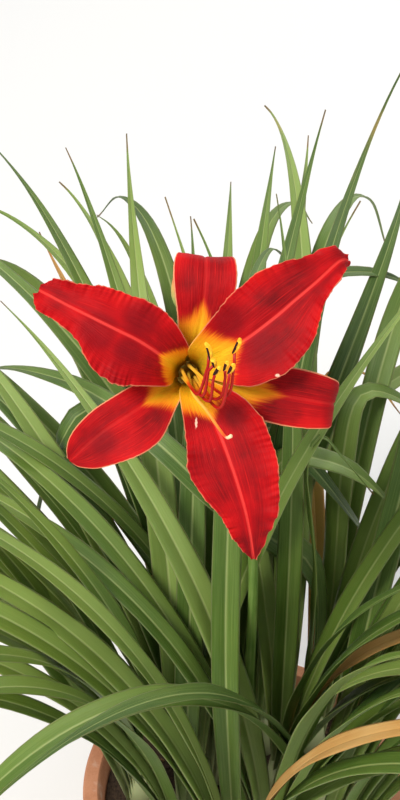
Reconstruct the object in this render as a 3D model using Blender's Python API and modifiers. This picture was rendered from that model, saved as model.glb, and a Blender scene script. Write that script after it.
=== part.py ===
"""A daylily plant in a plain pot: a clump of leaf fans, one scape with an open bloom and three buds.

Metres, +Z up. The origin is the centre of the pot's underside. The bloom faces -Y and upwards.
"""

import math
import random

import bmesh
import bpy
from mathutils import Matrix, Vector, noise
from mathutils.bvhtree import BVHTree

MM = 0.001
GAP = 0.0003

# Pot and soil
POT_HEIGHT = 0.165
POT_BASE_RADIUS = 0.072
POT_TOP_RADIUS = 0.103
POT_WALL = 0.006
POT_FLOOR = 0.008
RIM_HEIGHT = 0.028
RIM_PROUD = 0.005
DRAIN_HOLES = 5
DRAIN_RADIUS = 0.0045
DRAIN_CIRCLE = 0.046
SOIL_TOP = 0.150
SOIL_BUMP = 0.0025
POT_SIDES = 30

# Leaf fans
FANS = 12
FAN_CIRCLE = 0.074
LEAVES_PER_FAN = 9
FRONT_LEAVES = 7
FRONT = -0.02
LEAF_ROWS = 6
LEAF_ROW_CROWDING = 0.85
LEAF_THICKNESS = 0.0012
LEAF_CLEARANCE = 0.0012
LEAF_TRIES = 50
CROWN_RADIUS = 0.0095
CROWN_HEIGHT = 0.030
CROWN_DEPTH = 0.010
CROWN_STRETCH = 1.35
GOLDEN_ANGLE = math.radians(137.5)

# How a leaf grows by rule: angles in degrees from its youngest to its oldest, then sizes in metres
LEAF_LEAN = (1, 3)
LEAF_LEAN_WITH_AGE = 13
LEAF_BEND = (48, 78)
LEAF_BEND_WITH_AGE = 50
LEAF_SWEEP = 35
LEAF_TURN_BACK = 0.22
LEAF_LENGTH = (0.44, 0.54)
LEAF_WIDTH = (0.0150, 0.0205)
LEAF_STEPS = 24

# Bloom: its throat, and the way that it faces
BLOOM = Vector((-0.035, -0.050, 0.600))
BLOOM_ELEVATION = math.radians(45)
TUBE_END = -42
TEPAL_THICKNESS = 0.0007
PETAL_GRID = (6, 16)
SEPAL_GRID = (6, 12)

# Scape: the leafless flower stalk, from the soil to the bend behind the bloom
SCAPE_RADIUS = 0.0034
SCAPE_POINTS = (
    Vector((0.000, 0.000, 0.141)),
    Vector((0.001, 0.001, 0.260)),
    Vector((0.001, 0.003, 0.400)),
    Vector((-0.010, 0.004, 0.490)),
    Vector((-0.026, -0.002, 0.545)),
)

# The tube that the six tepals form: radius, height from the throat and half-width of a tepal there, in mm
PETAL_TUBE = ((4.9, TUBE_END, 4.2), (7.0, -24, 6.0))
SEPAL_TUBE = ((6.1, TUBE_END, 4.7), (8.4, -24, 6.4))

# Each row of a tepal after the tube, in mm: its midrib point (right, up, towards the viewer) from the throat,
# the half-widths of its anticlockwise and clockwise sides, and the radius of its cupped section
PETALS = {
    "petal_upper_left": (
        (-10, 6, -9, 14, 13, 14),
        (-22, 14, 1, 23, 18.5, 40),
        (-34, 20, 5, 22, 17.5, 90),
        (-45, 25.5, 5, 13.5, 15.5, 70),
        (-56, 31, 3, 9.5, 11.5, 50),
        (-66, 36.5, 0, 7.5, 7, 40),
        (-70, 38.5, -3, 2.5, 2.5, 30),
    ),
    "petal_upper_right": (
        (10, 7, -9, 11.5, 11.5, 13),
        (25, 14, 2, 19, 22.5, 40),
        (40, 25, 6, 21.5, 23, 90),
        (50, 33.5, 6, 20, 16, 90),
        (60, 42, 5, 15, 8.5, 60),
        (71, 52, 1, 9, 5.5, 30),
        (76, 53, -4, 2.5, 2.5, 30),
    ),
    "petal_lower": (
        (5, -11, -9, 10, 9.5, 13),
        (13, -25, 1, 19.5, 15.5, 40),
        (20, -43, 5, 21.5, 20, 90),
        (26, -62, 4, 17.5, 13, 90),
        (29, -75, 0, 10.5, 9, 60),
        (30.5, -85, -4, 4.5, 4, 40),
        (31, -88.5, -6, 1.2, 1.2, 30),
    ),
}
SEPALS = {
    "sepal_top": (
        (3, 13, -15, 8.5, 8.5, 15),
        (6.5, 27, -10, 12, 12, 40),
        (8, 42, -8, 15, 15, 70),
        (8.5, 53, -11, 15, 14, 70),
        (8, 56, -20, 11, 10, 60),
        (7.5, 54, -31, 2, 2, 30),
    ),
    "sepal_lower_left": (
        (-12, -9, -15, 10, 9, 15),
        (-25, -18, -9, 19, 11, 60),
        (-39, -27, -8, 18, 11, 90),
        (-50, -36, -11, 12.5, 9, 90),
        (-55, -40.5, -14, 6.5, 5, 50),
        (-57, -42, -15, 1.5, 1.5, 30),
    ),
    "sepal_right": (
        (14, -4, -15, 9, 9, 15),
        (32, -9, -10, 12.5, 12.5, 60),
        (50, -12, -7, 14, 14, 90),
        (65, -14.5, -9, 12.5, 12.5, 90),
        (70, -15, -17, 9.5, 10, 60),
        (68, -15, -29, 2, 2, 30),
    ),
}
RUFFLE_DEPTH = 1.5
RUFFLE_WAVES = 6

# Stamens, in mm: four points from the foot in the tube to the knee, then the anther's two ends
STAMENS = (
    ((-3.3, 1.6, -26), (1.6, -7.6, 10), (5.2, -10, 20), (9.2, 2.0, 31), (10.2, 5.0, 33), (8.0, 12.6, 35)),
    ((-3.0, -2.0, -26), (4.0, -9.6, 14), (7.5, -10.5, 24), (9.4, 0.0, 33), (12.2, 1.6, 34), (10.6, 5.4, 38)),
    ((1.9, -3.3, -26), (6.6, -11.6, 15), (10.2, -13.2, 25), (11.6, -4.0, 34), (11.8, -2.0, 35), (14.4, 1.8, 41)),
    ((3.2, 1.8, -26), (10.0, -11.4, 13), (15.4, -11.4, 24), (17.0, -3.0, 32), (16.4, 0.0, 33), (17.8, 4.4, 36)),
    ((3.1, -2.0, -26), (10.6, -14.2, 16), (15.4, -16.2, 28), (18.4, -4.6, 38), (18.2, -1.4, 39), (20.6, 3.2, 43)),
    ((0.0, 3.8, -26), (13.6, -9.0, 14), (19.0, -10.2, 23), (21.0, 3.0, 32), (20.4, 7.8, 33), (23.6, 14.6, 35)),
)
FILAMENT_RADIUS = 0.0006
ANTHER_RADIUS = 0.00125
ANTHER_PROFILE = (0.3, 0.9, 1.0, 0.85, 0.3)
PISTIL_POINTS = (
    (0, 0, -33),
    (0.2, -2.0, -20),
    (2.6, -10.4, -2),
    (8.6, -18, 16),
    (14.8, -27, 30),
    (17.6, -30, 37),
    (19.4, -29.2, 41),
)
PISTIL_RADIUS = 0.0007

# The stalk behind the tube: its path and radii in mm
BASE_PATH = ((3, 14, -66), (1.5, 6, -59), (0, 0, -50), (0, 0, TUBE_END - 2), (0, 0, TUBE_END - 0.5))
BASE_RADII = (1.9, 1.9, 2.3, 6.6, 6.9)
BRANCH_RADII = (2.2, 2.2, 1.9, 1.9)
OVARY_PROFILE = (1, 1, 1, 0.8, 0.35)

# Buds behind the bloom: foot and tip in mm from the throat, and the greatest radius
BUDS = {
    "bud_large": ((9.5, 30, -62), (8, 50, -30), 4.4),
    "bud_medium": ((-4, 28, -69), (-7, 50, -52), 3.2),
    "bud_small": ((1.5, 18, -75), (2, 32, -78), 2.1),
}

# Leaves placed one by one: fan, greatest width, and the midrib's points after its foot, in mm from the origin
PLACED_LEAVES = (
    (8, 19, ((45, 66, 300), (12, 49, 365), (-21, 41, 410), (-48, 53, 435), (-83, 88, 440),
        (-119, 126, 425), (-166, 175, 385), (-205, 210, 320))),
    (6, 20, ((-52, 72, 290), (-76, 100, 385), (-98, 108, 415), (-117, 96, 393), (-131, 98, 343),
        (-143, 108, 270))),
    (11, 21, ((-14, 80, 250), (-24, 94, 330), (-30, 118, 385), (-26, 160, 405), (-20, 205, 385))),
    (3, 19, ((14, 90, 290), (22, 160, 390), (42, 208, 425), (78, 222, 428), (115, 232, 403),
        (150, 238, 345))),
    (3, 21, ((8, 60, 270), (8, 80, 355), (22, 86, 393), (45, 78, 402), (70, 70, 394), (96, 75, 350),
        (115, 85, 285))),
    (11, 18, ((-4, 92, 260), (0, 116, 350), (14, 120, 388), (37, 100, 378), (62, 92, 344), (87, 96, 292),
        (104, 104, 230))),
    (8, 8, ((42, 42, 330), (33, 48, 420), (39, 52, 450), (53, 54, 432), (74, 50, 402))),
    (6, 13, ((-58, 96, 270), (-88, 165, 360), (-114, 222, 402), (-128, 250, 414), (-140, 285, 410))),
    (8, 18, ((58, 78, 270), (62, 118, 360), (72, 139, 396), (99, 146, 386), (127, 152, 345),
        (146, 158, 280))),
    (8, 13, ((50, 90, 260), (46, 155, 335), (58, 194, 360), (84, 206, 350), (112, 212, 305))),
    (11, 19, ((-12, 112, 290), (-6, 165, 380), (4, 215, 425), (18, 262, 438), (36, 305, 420),
        (52, 338, 375))),
    (3, 18, ((22, 96, 290), (36, 165, 395), (50, 225, 438), (70, 280, 440), (92, 325, 405),
        (108, 352, 345))),
    (8, 18, ((62, 92, 290), (84, 155, 390), (110, 215, 432), (142, 268, 430), (176, 312, 385),
        (198, 338, 320))),
    (11, 18, ((-20, 118, 290), (-40, 190, 395), (-60, 250, 435), (-84, 305, 425), (-104, 345, 375))),
    (5, 18, ((76, 30, 310), (103, 95, 425), (110, 158, 476), (120, 215, 488), (134, 265, 472),
        (148, 305, 430))),
    (11, 19, ((14, 122, 245), (60, 192, 300), (118, 242, 318), (182, 280, 308), (236, 308, 262))),
    (6, 19, ((-62, 110, 290), (-104, 185, 385), (-152, 245, 405), (-204, 292, 380), (-246, 326, 320))),
    (7, 17, ((-14, -20, 320), (-12, 40, 432), (-6, 100, 478), (4, 152, 484), (16, 205, 462),
        (30, 248, 415))),
)


def mix(a, b, t):
    return a + (b - a) * t


def smooth(t):
    t = min(1.0, max(0.0, t))
    return t * t * (3 - 2 * t)


def spline(rows, t):
    """A row on the Catmull-Rom curve through rows of numbers, at t from 0 to 1."""
    span = t * (len(rows) - 1)
    i = min(int(span), len(rows) - 2)
    u = span - i
    before = rows[i - 1] if i else [2 * a - b for a, b in zip(rows[0], rows[1])]
    if i + 2 < len(rows):
        after = rows[i + 2]
    else:
        after = [2 * a - b for a, b in zip(rows[-1], rows[-2])]
    return [
        b + 0.5 * u * (c - a + u * (2 * a - 5 * b + 4 * c - d + u * (3 * (b - c) + d - a)))
        for a, b, c, d in zip(before, rows[i], rows[i + 1], after)
    ]


def even_rows(rows, count, crowding=1.0):
    """count + 1 rows along the curve, spaced by the length of its first three numbers.

    The spacing is even at crowding 1, and closer towards the end below 1.
    """
    fine = [spline(rows, i / 200) for i in range(201)]
    reach = [0.0]
    for a, b in zip(fine, fine[1:]):
        reach.append(reach[-1] + (Vector(b[:3]) - Vector(a[:3])).length)
    made, j = [], 0
    for i in range(count + 1):
        goal = reach[-1] * (i / count) ** crowding
        while j < 199 and reach[j + 1] < goal:
            j += 1
        u = (goal - reach[j]) / max(reach[j + 1] - reach[j], 1e-9)
        made.append([mix(a, b, u) for a, b in zip(fine[j], fine[j + 1])])
    return made


def flower_frame():
    """The matrix from the bloom's own axes (right, up, towards the viewer) to the plant's."""
    facing = Vector((0, -math.cos(BLOOM_ELEVATION), math.sin(BLOOM_ELEVATION)))
    up = Vector((0, math.sin(BLOOM_ELEVATION), math.cos(BLOOM_ELEVATION)))
    axes = Matrix((Vector((1, 0, 0)), up, facing)).transposed().to_4x4()
    return Matrix.Translation(BLOOM) @ axes


FLOWER = flower_frame()


def at_flower(point_mm):
    return FLOWER @ (Vector(point_mm) * MM)


def new_object(name, mesh, material=None):
    obj = bpy.data.objects.new(name, mesh)
    PLANT.objects.link(obj)
    if material:
        mesh.materials.clear()
        mesh.materials.append(material)
    return obj


def from_bmesh(name, bm, material=None):
    mesh = bpy.data.meshes.new(name)
    bm.to_mesh(mesh)
    bm.free()
    return new_object(name, mesh, material)


def surface(name, color, roughness):
    made = bpy.data.materials.new(name)
    made.use_nodes = True
    shader = made.node_tree.nodes["Principled BSDF"]
    shader.inputs["Base Color"].default_value = (*color, 1)
    shader.inputs["Roughness"].default_value = roughness
    return made


def evaluated_mesh(obj):
    """The object's mesh with its modifiers applied, in its own axes."""
    bpy.context.view_layer.update()
    graph = bpy.context.evaluated_depsgraph_get()
    return bpy.data.meshes.new_from_object(obj.evaluated_get(graph))


def union(first, others, solver="EXACT"):
    """Joins the other objects into the first with one Boolean on a collection, and removes them."""
    joined = bpy.data.collections.new("joined")
    bpy.context.scene.collection.children.link(joined)
    for obj in others:
        joined.objects.link(obj)
        PLANT.objects.unlink(obj)
    boolean = first.modifiers.new("join", "BOOLEAN")
    boolean.operation = "UNION"
    boolean.operand_type = "COLLECTION"
    boolean.collection = joined
    boolean.solver = solver
    mesh = evaluated_mesh(first)
    keep_main_shell(mesh)
    first.modifiers.remove(boolean)
    first.data = mesh
    for obj in others:
        bpy.data.objects.remove(obj)
    bpy.data.collections.remove(joined)
    return first


def keep_main_shell(mesh):
    """Drops loose scraps, and the walls of any hollow that the join has sealed."""
    bm = bmesh.new()
    bm.from_mesh(mesh)
    unseen, shells = set(bm.verts), []
    while unseen:
        shell, edge_of_search = set(), [unseen.pop()]
        while edge_of_search:
            vert = edge_of_search.pop()
            shell.add(vert)
            for edge in vert.link_edges:
                other = edge.other_vert(vert)
                if other in unseen:
                    unseen.remove(other)
                    edge_of_search.append(other)
        shells.append(shell)
    largest = max(shells, key=len)
    bmesh.ops.delete(bm, geom=[vert for vert in bm.verts if vert not in largest], context="VERTS")
    bm.to_mesh(mesh)
    bm.free()


def cut(obj, cutters):
    """Cuts the helper objects out of the object, and keeps them as hidden helpers."""
    for cutter in cutters:
        boolean = obj.modifiers.new("cut", "BOOLEAN")
        boolean.operation = "DIFFERENCE"
        boolean.object = cutter
        PLANT.objects.unlink(cutter)
        CUTTERS.objects.link(cutter)
        cutter.hide_render = True
        cutter.display_type = "WIRE"


def tube(name, points, radii, material, sides=6):
    """A round rod through the points, as a mesh with closed ends."""
    curve = bpy.data.curves.new(name, "CURVE")
    curve.dimensions = "3D"
    curve.bevel_depth = 1.0
    curve.bevel_resolution = (sides - 4) // 2
    curve.use_fill_caps = True
    line = curve.splines.new("POLY")
    line.points.add(len(points) - 1)
    for point, co, radius in zip(line.points, points, radii):
        point.co = (*co, 1)
        point.radius = radius
    rod = bpy.data.objects.new(name, curve)
    PLANT.objects.link(rod)
    mesh = evaluated_mesh(rod)
    bpy.data.objects.remove(rod)
    bm = bmesh.new()
    bm.from_mesh(mesh)
    bmesh.ops.remove_doubles(bm, verts=bm.verts, dist=1e-6)
    bmesh.ops.recalc_face_normals(bm, faces=bm.faces)
    return from_bmesh(name, bm, material)


def spindle(name, foot, tip, radius, profile, material, sides=8):
    """A pointed turned body from foot to tip, whose radius follows the profile's shares."""
    rows = len(profile) - 1
    points = [foot.lerp(tip, i / rows) for i in range(rows + 1)]
    return tube(name, points, [radius * share for share in profile], material, sides)


def turned(name, profile, material, sides):
    """A Screw around Z of a closed profile of (radius, height) pairs."""
    mesh = bpy.data.meshes.new(name)
    edges = [(i, i + 1) for i in range(len(profile) - 1)]
    mesh.from_pydata([(r, 0, z) for r, z in profile], edges, [])
    obj = new_object(name, mesh, material)
    screw = obj.modifiers.new("turn", "SCREW")
    screw.steps = screw.render_steps = sides
    screw.use_merge_vertices = True
    screw.merge_threshold = 1e-5
    obj.data = evaluated_mesh(obj)
    obj.modifiers.clear()
    obj.data.materials.clear()
    obj.data.materials.append(material)
    return obj


# Leaves

def rule_leaf(fan, number, attempt):
    """The midrib's points and the greatest width of a fan's leaf, from seeded draws. The older lean out more."""
    draw = random.Random(fan * 7919 + number * 613 + attempt * 31 + 5)
    age = (number + 0.5) / LEAVES_PER_FAN
    side = number % 2
    foot = fan_foot(fan)
    outward = math.atan2(foot.y, foot.x)
    heading = fan_heading(fan) + side * math.pi
    foot = foot + Vector((math.cos(heading), math.sin(heading), 0)) * CROWN_RADIUS * mix(0.1, 0.95, age)
    heading += draw.gauss(0, 0.2 + 0.03 * attempt)
    swing = math.remainder(outward - heading, math.tau)
    heading += swing * draw.uniform(0.15, 0.6) * min(1.0, foot.xy.length / FAN_CIRCLE)
    heading += LEAF_TURN_BACK * math.remainder(math.pi / 2 - heading, math.tau)
    lean = math.radians(draw.uniform(*LEAF_LEAN) + LEAF_LEAN_WITH_AGE * age)
    bend = math.radians(draw.uniform(*LEAF_BEND) + LEAF_BEND_WITH_AGE * age - 0.6 * attempt)
    sweep = math.radians(draw.uniform(-LEAF_SWEEP, LEAF_SWEEP))
    length = draw.uniform(*LEAF_LENGTH) * (1.0 - 0.12 * (1 - age))
    point = foot
    points = [point.copy()]
    for i in range(LEAF_STEPS):
        t = (i + 0.5) / LEAF_STEPS
        angle = lean + bend * t**1.7
        turn = heading + sweep * t * t
        point = point + Vector(
            (math.sin(angle) * math.cos(turn), math.sin(angle) * math.sin(turn), math.cos(angle))
        ) * (length / LEAF_STEPS)
        points.append(point.copy())
    return points, draw.uniform(*LEAF_WIDTH)


def fan_foot(fan):
    """Where the fan's crown stands on the soil: a spiral that leaves the middle to the scape."""
    radius = FAN_CIRCLE * math.sqrt((fan + 1.4) / (FANS + 0.4))
    angle = fan * GOLDEN_ANGLE + 0.4
    return Vector((radius * math.cos(angle), radius * math.sin(angle), SOIL_TOP + 0.006))


def leaf_count(fan):
    """Fewer leaves in the front fans, where the soil shows between them."""
    return FRONT_LEAVES if fan_foot(fan).y < FRONT else LEAVES_PER_FAN


def fan_heading(fan):
    return random.Random(fan * 101 + 3).uniform(0, math.tau)


def leaf_half_width(t, width):
    """A strap that widens from its foot and narrows to a long point."""
    widening = mix(0.62, 1.0, smooth(t / 0.3))
    narrowing = 1 - smooth((t - 0.45) / 0.56) ** 1.15
    return 0.5 * width * widening * narrowing + 0.0004 * t


def leaf_sheet(bm, points, width, rows, extra=0.0):
    """Shapes a grid into one keeled blade, closed at its margins. extra thickens it, to keep a clearance."""
    made = bmesh.ops.create_grid(bm, x_segments=2, y_segments=rows, size=1)
    upper = made["verts"]
    faces = list({face for vert in upper for face in vert.link_faces})
    bmesh.ops.triangulate(bm, faces=faces, quad_method="FIXED")
    faces = list({face for vert in upper for face in vert.link_faces})
    copied = bmesh.ops.duplicate(bm, geom=upper + faces)["geom"]
    lower = [item for item in copied if isinstance(item, bmesh.types.BMVert)]
    bmesh.ops.reverse_faces(bm, faces=[item for item in copied if isinstance(item, bmesh.types.BMFace)])
    line = even_rows([tuple(p) for p in points], rows, LEAF_ROW_CROWDING)
    chord = Vector(points[-1]) - Vector(points[0])
    chord.z = 0
    for verts, drop in ((upper, 0.0), (lower, 1.0)):
        for vert in verts:
            v, i = vert.co.x, round((vert.co.y + 1) / 2 * rows)
            t = (i / rows) ** LEAF_ROW_CROWDING
            here = Vector(line[i])
            along = (Vector(line[min(i + 1, rows)]) - Vector(line[max(i - 1, 0)])).normalized()
            flat = along.copy()
            flat.z = 0
            heading = chord.normalized().lerp(flat, smooth((t - 0.3) / 0.4) * min(1, 2 * flat.length))
            across = Vector((-heading.y, heading.x, 0)).normalized()
            across = (across - along * across.dot(along)).normalized()
            normal = along.cross(across)
            half = leaf_half_width(t, width)
            fold = mix(0.75, 0.28, smooth(t / 0.5)) * half
            thick = LEAF_THICKNESS * mix(1.3, 0.7, t)
            lift = fold * abs(v)
            if abs(v) < 0.5:
                lift += extra - drop * (thick + 2 * extra)
            vert.co = here - across * v * (half + extra) + normal * lift
    bmesh.ops.remove_doubles(bm, verts=upper + lower, dist=1e-6)
    bmesh.ops.holes_fill(bm, edges=[edge for edge in bm.edges if edge.is_boundary], sides=4)


def leaf_tree(points, width, extra=0.0):
    bm = bmesh.new()
    leaf_sheet(bm, points, width, LEAF_ROWS, extra)
    tree = BVHTree.FromBMesh(bm)
    bm.free()
    return tree


def placed_leaf(fan, width, points):
    foot = fan_foot(fan)
    goal = Vector(points[0]) * MM - foot
    foot += Vector((goal.x, goal.y, 0)).normalized() * CROWN_RADIUS * 0.7
    return [foot, *(Vector(p) * MM for p in points)], width * MM


def grow_leaves():
    """Chooses every leaf: the placed ones, then the rule's, each at its first draw that is clear."""
    grown = {fan: [] for fan in range(FANS)}
    trees = []

    def keep(fan, leaf):
        grown[fan].append(leaf)
        trees.append((fan, leaf_tree(*leaf)))

    for fan, width, points in PLACED_LEAVES:
        keep(fan, placed_leaf(fan, width, points))
    for number in range(LEAVES_PER_FAN - 1, -1, -1):
        for fan in range(FANS):
            if len(grown[fan]) >= leaf_count(fan):
                continue
            for attempt in range(LEAF_TRIES):
                leaf = rule_leaf(fan, number, attempt)
                if leaf_is_clear(fan, leaf, trees):
                    keep(fan, leaf)
                    break
    return grown


def leaf_is_clear(fan, leaf, trees):
    points, width = leaf
    if in_the_way(points):
        return False
    tree = leaf_tree(points, width, LEAF_CLEARANCE)
    return not any(tree.overlap(other) for owner, other in trees if owner != fan)


def in_the_way(points):
    """True if a leaf would reach the pot, the scape, another crown, or the space round the bloom."""
    for point in points:
        if point.z < 0.03:
            return True
        if point.z < POT_HEIGHT + 0.012 and point.xy.length > POT_TOP_RADIUS - 0.014:
            if point.xy.length < POT_TOP_RADIUS + RIM_PROUD + 0.016:
                return True
        if (point - BLOOM).length < 0.085:
            return True
        if scape_distance(point) < 0.017:
            return True
    return False


def scape_distance(point):
    return min(
        (point - a.lerp(b, i / 6)).length for a, b in zip(SCAPE_POINTS, SCAPE_POINTS[1:]) for i in range(7)
    )


def crown(fan, grow=0.0):
    """The bundle of leaf bases that a fan's leaves rise from, an oval. grow widens it for its hole."""
    bm = bmesh.new()
    depth = CROWN_HEIGHT + CROWN_DEPTH
    bmesh.ops.create_cone(
        bm,
        cap_ends=True,
        segments=8,
        radius1=CROWN_RADIUS + grow,
        radius2=CROWN_RADIUS * 0.62 + grow,
        depth=depth + 2 * grow,
    )
    bmesh.ops.scale(bm, vec=(CROWN_STRETCH, 1, 1), verts=bm.verts)
    foot = fan_foot(fan)
    place = Matrix.Translation((foot.x, foot.y, SOIL_TOP - CROWN_DEPTH + depth / 2))
    bm.transform(place @ Matrix.Rotation(fan_heading(fan), 4, "Z"))
    return bm


def build_fans(material):
    for fan, leaves in grow_leaves().items():
        body = from_bmesh(f"leaf_fan_{fan + 1:02d}", crown(fan), material)
        blades = []
        for points, width in leaves:
            bm = bmesh.new()
            leaf_sheet(bm, points, width, LEAF_ROWS)
            blades.append(from_bmesh("blade", bm, material))
        union(body, blades)
        body.data.materials.clear()
        body.data.materials.append(material)


# Bloom

def tepal(name, tube_rows, rows, grid, ruffle, material):
    """One petal or sepal: a grid bent to its midrib and cupped by its radius, with a waved margin."""
    bm = bmesh.new()
    across_count, along_count = grid
    bmesh.ops.create_grid(bm, x_segments=across_count, y_segments=along_count, size=1)
    bmesh.ops.triangulate(bm, faces=bm.faces[:], quad_method="FIXED")
    tip = Vector(rows[-2][:3])
    outward = Vector((tip.x, tip.y, 0)).normalized()
    feet = [(outward.x * r, outward.y * r, z, half, half, r) for r, z, half in tube_rows]
    line = even_rows([*feet, *rows], along_count)
    sideways = Vector((0, 0, 1)).cross(outward)
    for vert in bm.verts:
        v, t = -vert.co.x, (vert.co.y + 1) / 2
        i = round(t * along_count)
        here = line[i]
        along = (Vector(line[min(i + 1, along_count)][:3]) - Vector(line[max(i - 1, 0)][:3])).normalized()
        side = (sideways - along * sideways.dot(along)).normalized()
        normal = along.cross(side)
        half = here[3] if v > 0 else here[4]
        cup = here[5]
        x = v * half
        co = Vector(here[:3]) + side * cup * math.sin(x / cup) + normal * cup * (1 - math.cos(x / cup))
        wave = math.sin(math.tau * RUFFLE_WAVES * t + (1.3 if v > 0 else 0.0))
        co += normal * ruffle * wave * abs(v) ** 3 * smooth((t - 0.35) / 0.2)
        vert.co = at_flower(co)
    obj = from_bmesh(name, bm, material)
    solid = obj.modifiers.new("thickness", "SOLIDIFY")
    solid.thickness = TEPAL_THICKNESS
    solid.offset = -1
    return obj


def stamen(number, points, material):
    """A filament that sags out of the throat and turns up, with its anther."""
    line = [at_flower(row) for row in even_rows(points[:4], 8)]
    radii = [FILAMENT_RADIUS * mix(1.35, 0.8, i / 8) for i in range(9)]
    filament = tube(f"stamen_{number}", line, radii, material, 4)
    low, high = at_flower(points[4]), at_flower(points[5])
    anther = spindle("anther", low, high, ANTHER_RADIUS, ANTHER_PROFILE, material, 6)
    knee = tube("knee", [line[-2], line[-1], low.lerp(high, 0.3)], [FILAMENT_RADIUS * 0.75] * 3, material)
    return union(filament, [knee, anther])


def pistil(material):
    line = [at_flower(row) for row in even_rows(PISTIL_POINTS, 12)]
    radii = [PISTIL_RADIUS * mix(1.3, 0.9, i / 12) for i in range(13)]
    radii[-1] = PISTIL_RADIUS * 1.7
    return tube("pistil", line, radii, material, 6)


def flower_base(material):
    """The green stalk and ovary behind the tube, which carries the tepals and the style."""
    foot = tube(
        "flower_base",
        [at_flower(p) for p in BASE_PATH],
        [r * MM for r in BASE_RADII],
        material,
        12,
    )
    low, high = at_flower((0, 0, -46)), at_flower((0, 0, -34))
    ovary = spindle("ovary", low, high, 2.6 * MM, OVARY_PROFILE, material)
    return union(foot, [ovary])


def bud(name, foot, tip, radius, material):
    """A closed bud on its short stalk."""
    profile = (0.5, 0.42, 0.42, 0.8, 1.0, 0.98, 0.8, 0.5, 0.14)
    return spindle(name, at_flower(foot), at_flower(tip), radius * MM, profile, material, 8)


def scape(material):
    """The flower stalk, its short branches to the bloom and buds, and the bracts at their feet."""
    line = [Vector(row) for row in even_rows([tuple(p) for p in SCAPE_POINTS], 12)]
    radii = [SCAPE_RADIUS * mix(1.0, 0.72, i / 12) for i in range(13)]
    stalk = tube("scape", line, radii, material, 8)
    top = line[-1]
    others = []
    for foot, tip in ((BASE_PATH[0], BASE_PATH[1]), *((foot, tip) for foot, tip, _ in BUDS.values())):
        foot, tip = at_flower(foot), at_flower(tip)
        along = (tip - foot).normalized()
        end = foot - along * 1.2 * GAP
        path = [line[-2], top, end - along * 4 * MM, end]
        others.append(tube("branch", path, [r * MM for r in BRANCH_RADII], material))
    for share, turn in ((0.90, 0.3), (0.965, 2.6)):
        foot = Vector(spline([tuple(p) for p in SCAPE_POINTS], share))
        lean = Vector((math.cos(turn), math.sin(turn), 1.6)).normalized()
        others.append(
            spindle("bract", foot, foot + lean * 0.026, 3.0 * MM, (0.9, 1.0, 0.7, 0.35, 0.06), material, 6)
        )
    return union(stalk, others)


# Pot and soil

def pot(material):
    top, base = POT_TOP_RADIUS, POT_BASE_RADIUS
    rim_foot = POT_HEIGHT - RIM_HEIGHT

    def outer(z):
        return mix(base, top, z / POT_HEIGHT)

    edge = 0.0015
    profile = (
        (0, POT_FLOOR),
        (outer(POT_FLOOR) - POT_WALL, POT_FLOOR),
        (top - POT_WALL, POT_HEIGHT - edge),
        (top - POT_WALL + edge, POT_HEIGHT),
        (top + RIM_PROUD - edge, POT_HEIGHT),
        (top + RIM_PROUD, POT_HEIGHT - edge),
        (outer(rim_foot) + RIM_PROUD + 0.001, rim_foot + edge),
        (outer(rim_foot) + RIM_PROUD - 0.001, rim_foot),
        (outer(rim_foot), rim_foot - 0.002),
        (outer(edge), edge),
        (base - edge, 0),
        (0, 0),
    )
    body = turned("pot", profile, material, POT_SIDES)
    drains = []
    for i in range(DRAIN_HOLES):
        angle = math.tau * i / DRAIN_HOLES + 0.3
        bm = bmesh.new()
        bmesh.ops.create_cone(
            bm, cap_ends=True, segments=12, radius1=DRAIN_RADIUS, radius2=DRAIN_RADIUS, depth=POT_FLOOR * 3
        )
        place = Vector((DRAIN_CIRCLE * math.cos(angle), DRAIN_CIRCLE * math.sin(angle), POT_FLOOR / 2))
        bmesh.ops.translate(bm, vec=place, verts=bm.verts)
        drains.append(from_bmesh(f"drain_{i + 1}", bm))
    cut(body, drains)
    body.data.shade_smooth()
    body.data.set_sharp_from_angle(angle=math.radians(35))
    return body


def soil(material):
    """The potting mix: it fills the pot, is bumpy on top, and has plain holes for crowns and scape."""
    def inner(z):
        return mix(POT_BASE_RADIUS, POT_TOP_RADIUS, z / POT_HEIGHT) - POT_WALL - GAP * 2

    low = POT_FLOOR + GAP
    rings = 4
    top_radius = inner(SOIL_TOP) - 0.0004
    profile = [(0, SOIL_TOP)] + [(top_radius * i / rings, SOIL_TOP) for i in range(1, rings + 1)]
    profile += [(inner(low), low), (0, low)]
    body = turned("soil", profile, material, POT_SIDES // 2)
    for vert in body.data.vertices:
        if vert.co.z > SOIL_TOP - 0.001 and vert.co.xy.length < top_radius * 0.99:
            vert.co.z += SOIL_BUMP * noise.noise(vert.co * 45 + Vector((3, 1, 7)))
    holes = [from_bmesh(f"crown_hole_{fan + 1}", crown(fan, GAP * 1.5)) for fan in range(FANS)]
    foot = SCAPE_POINTS[0]
    ends = [foot - Vector((0, 0, 0.002)), foot + Vector((0, 0, 0.03))]
    holes.append(tube("scape_hole", ends, [SCAPE_RADIUS * 1.2] * 2, None, 10))
    cut(body, holes)
    return body


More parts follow.
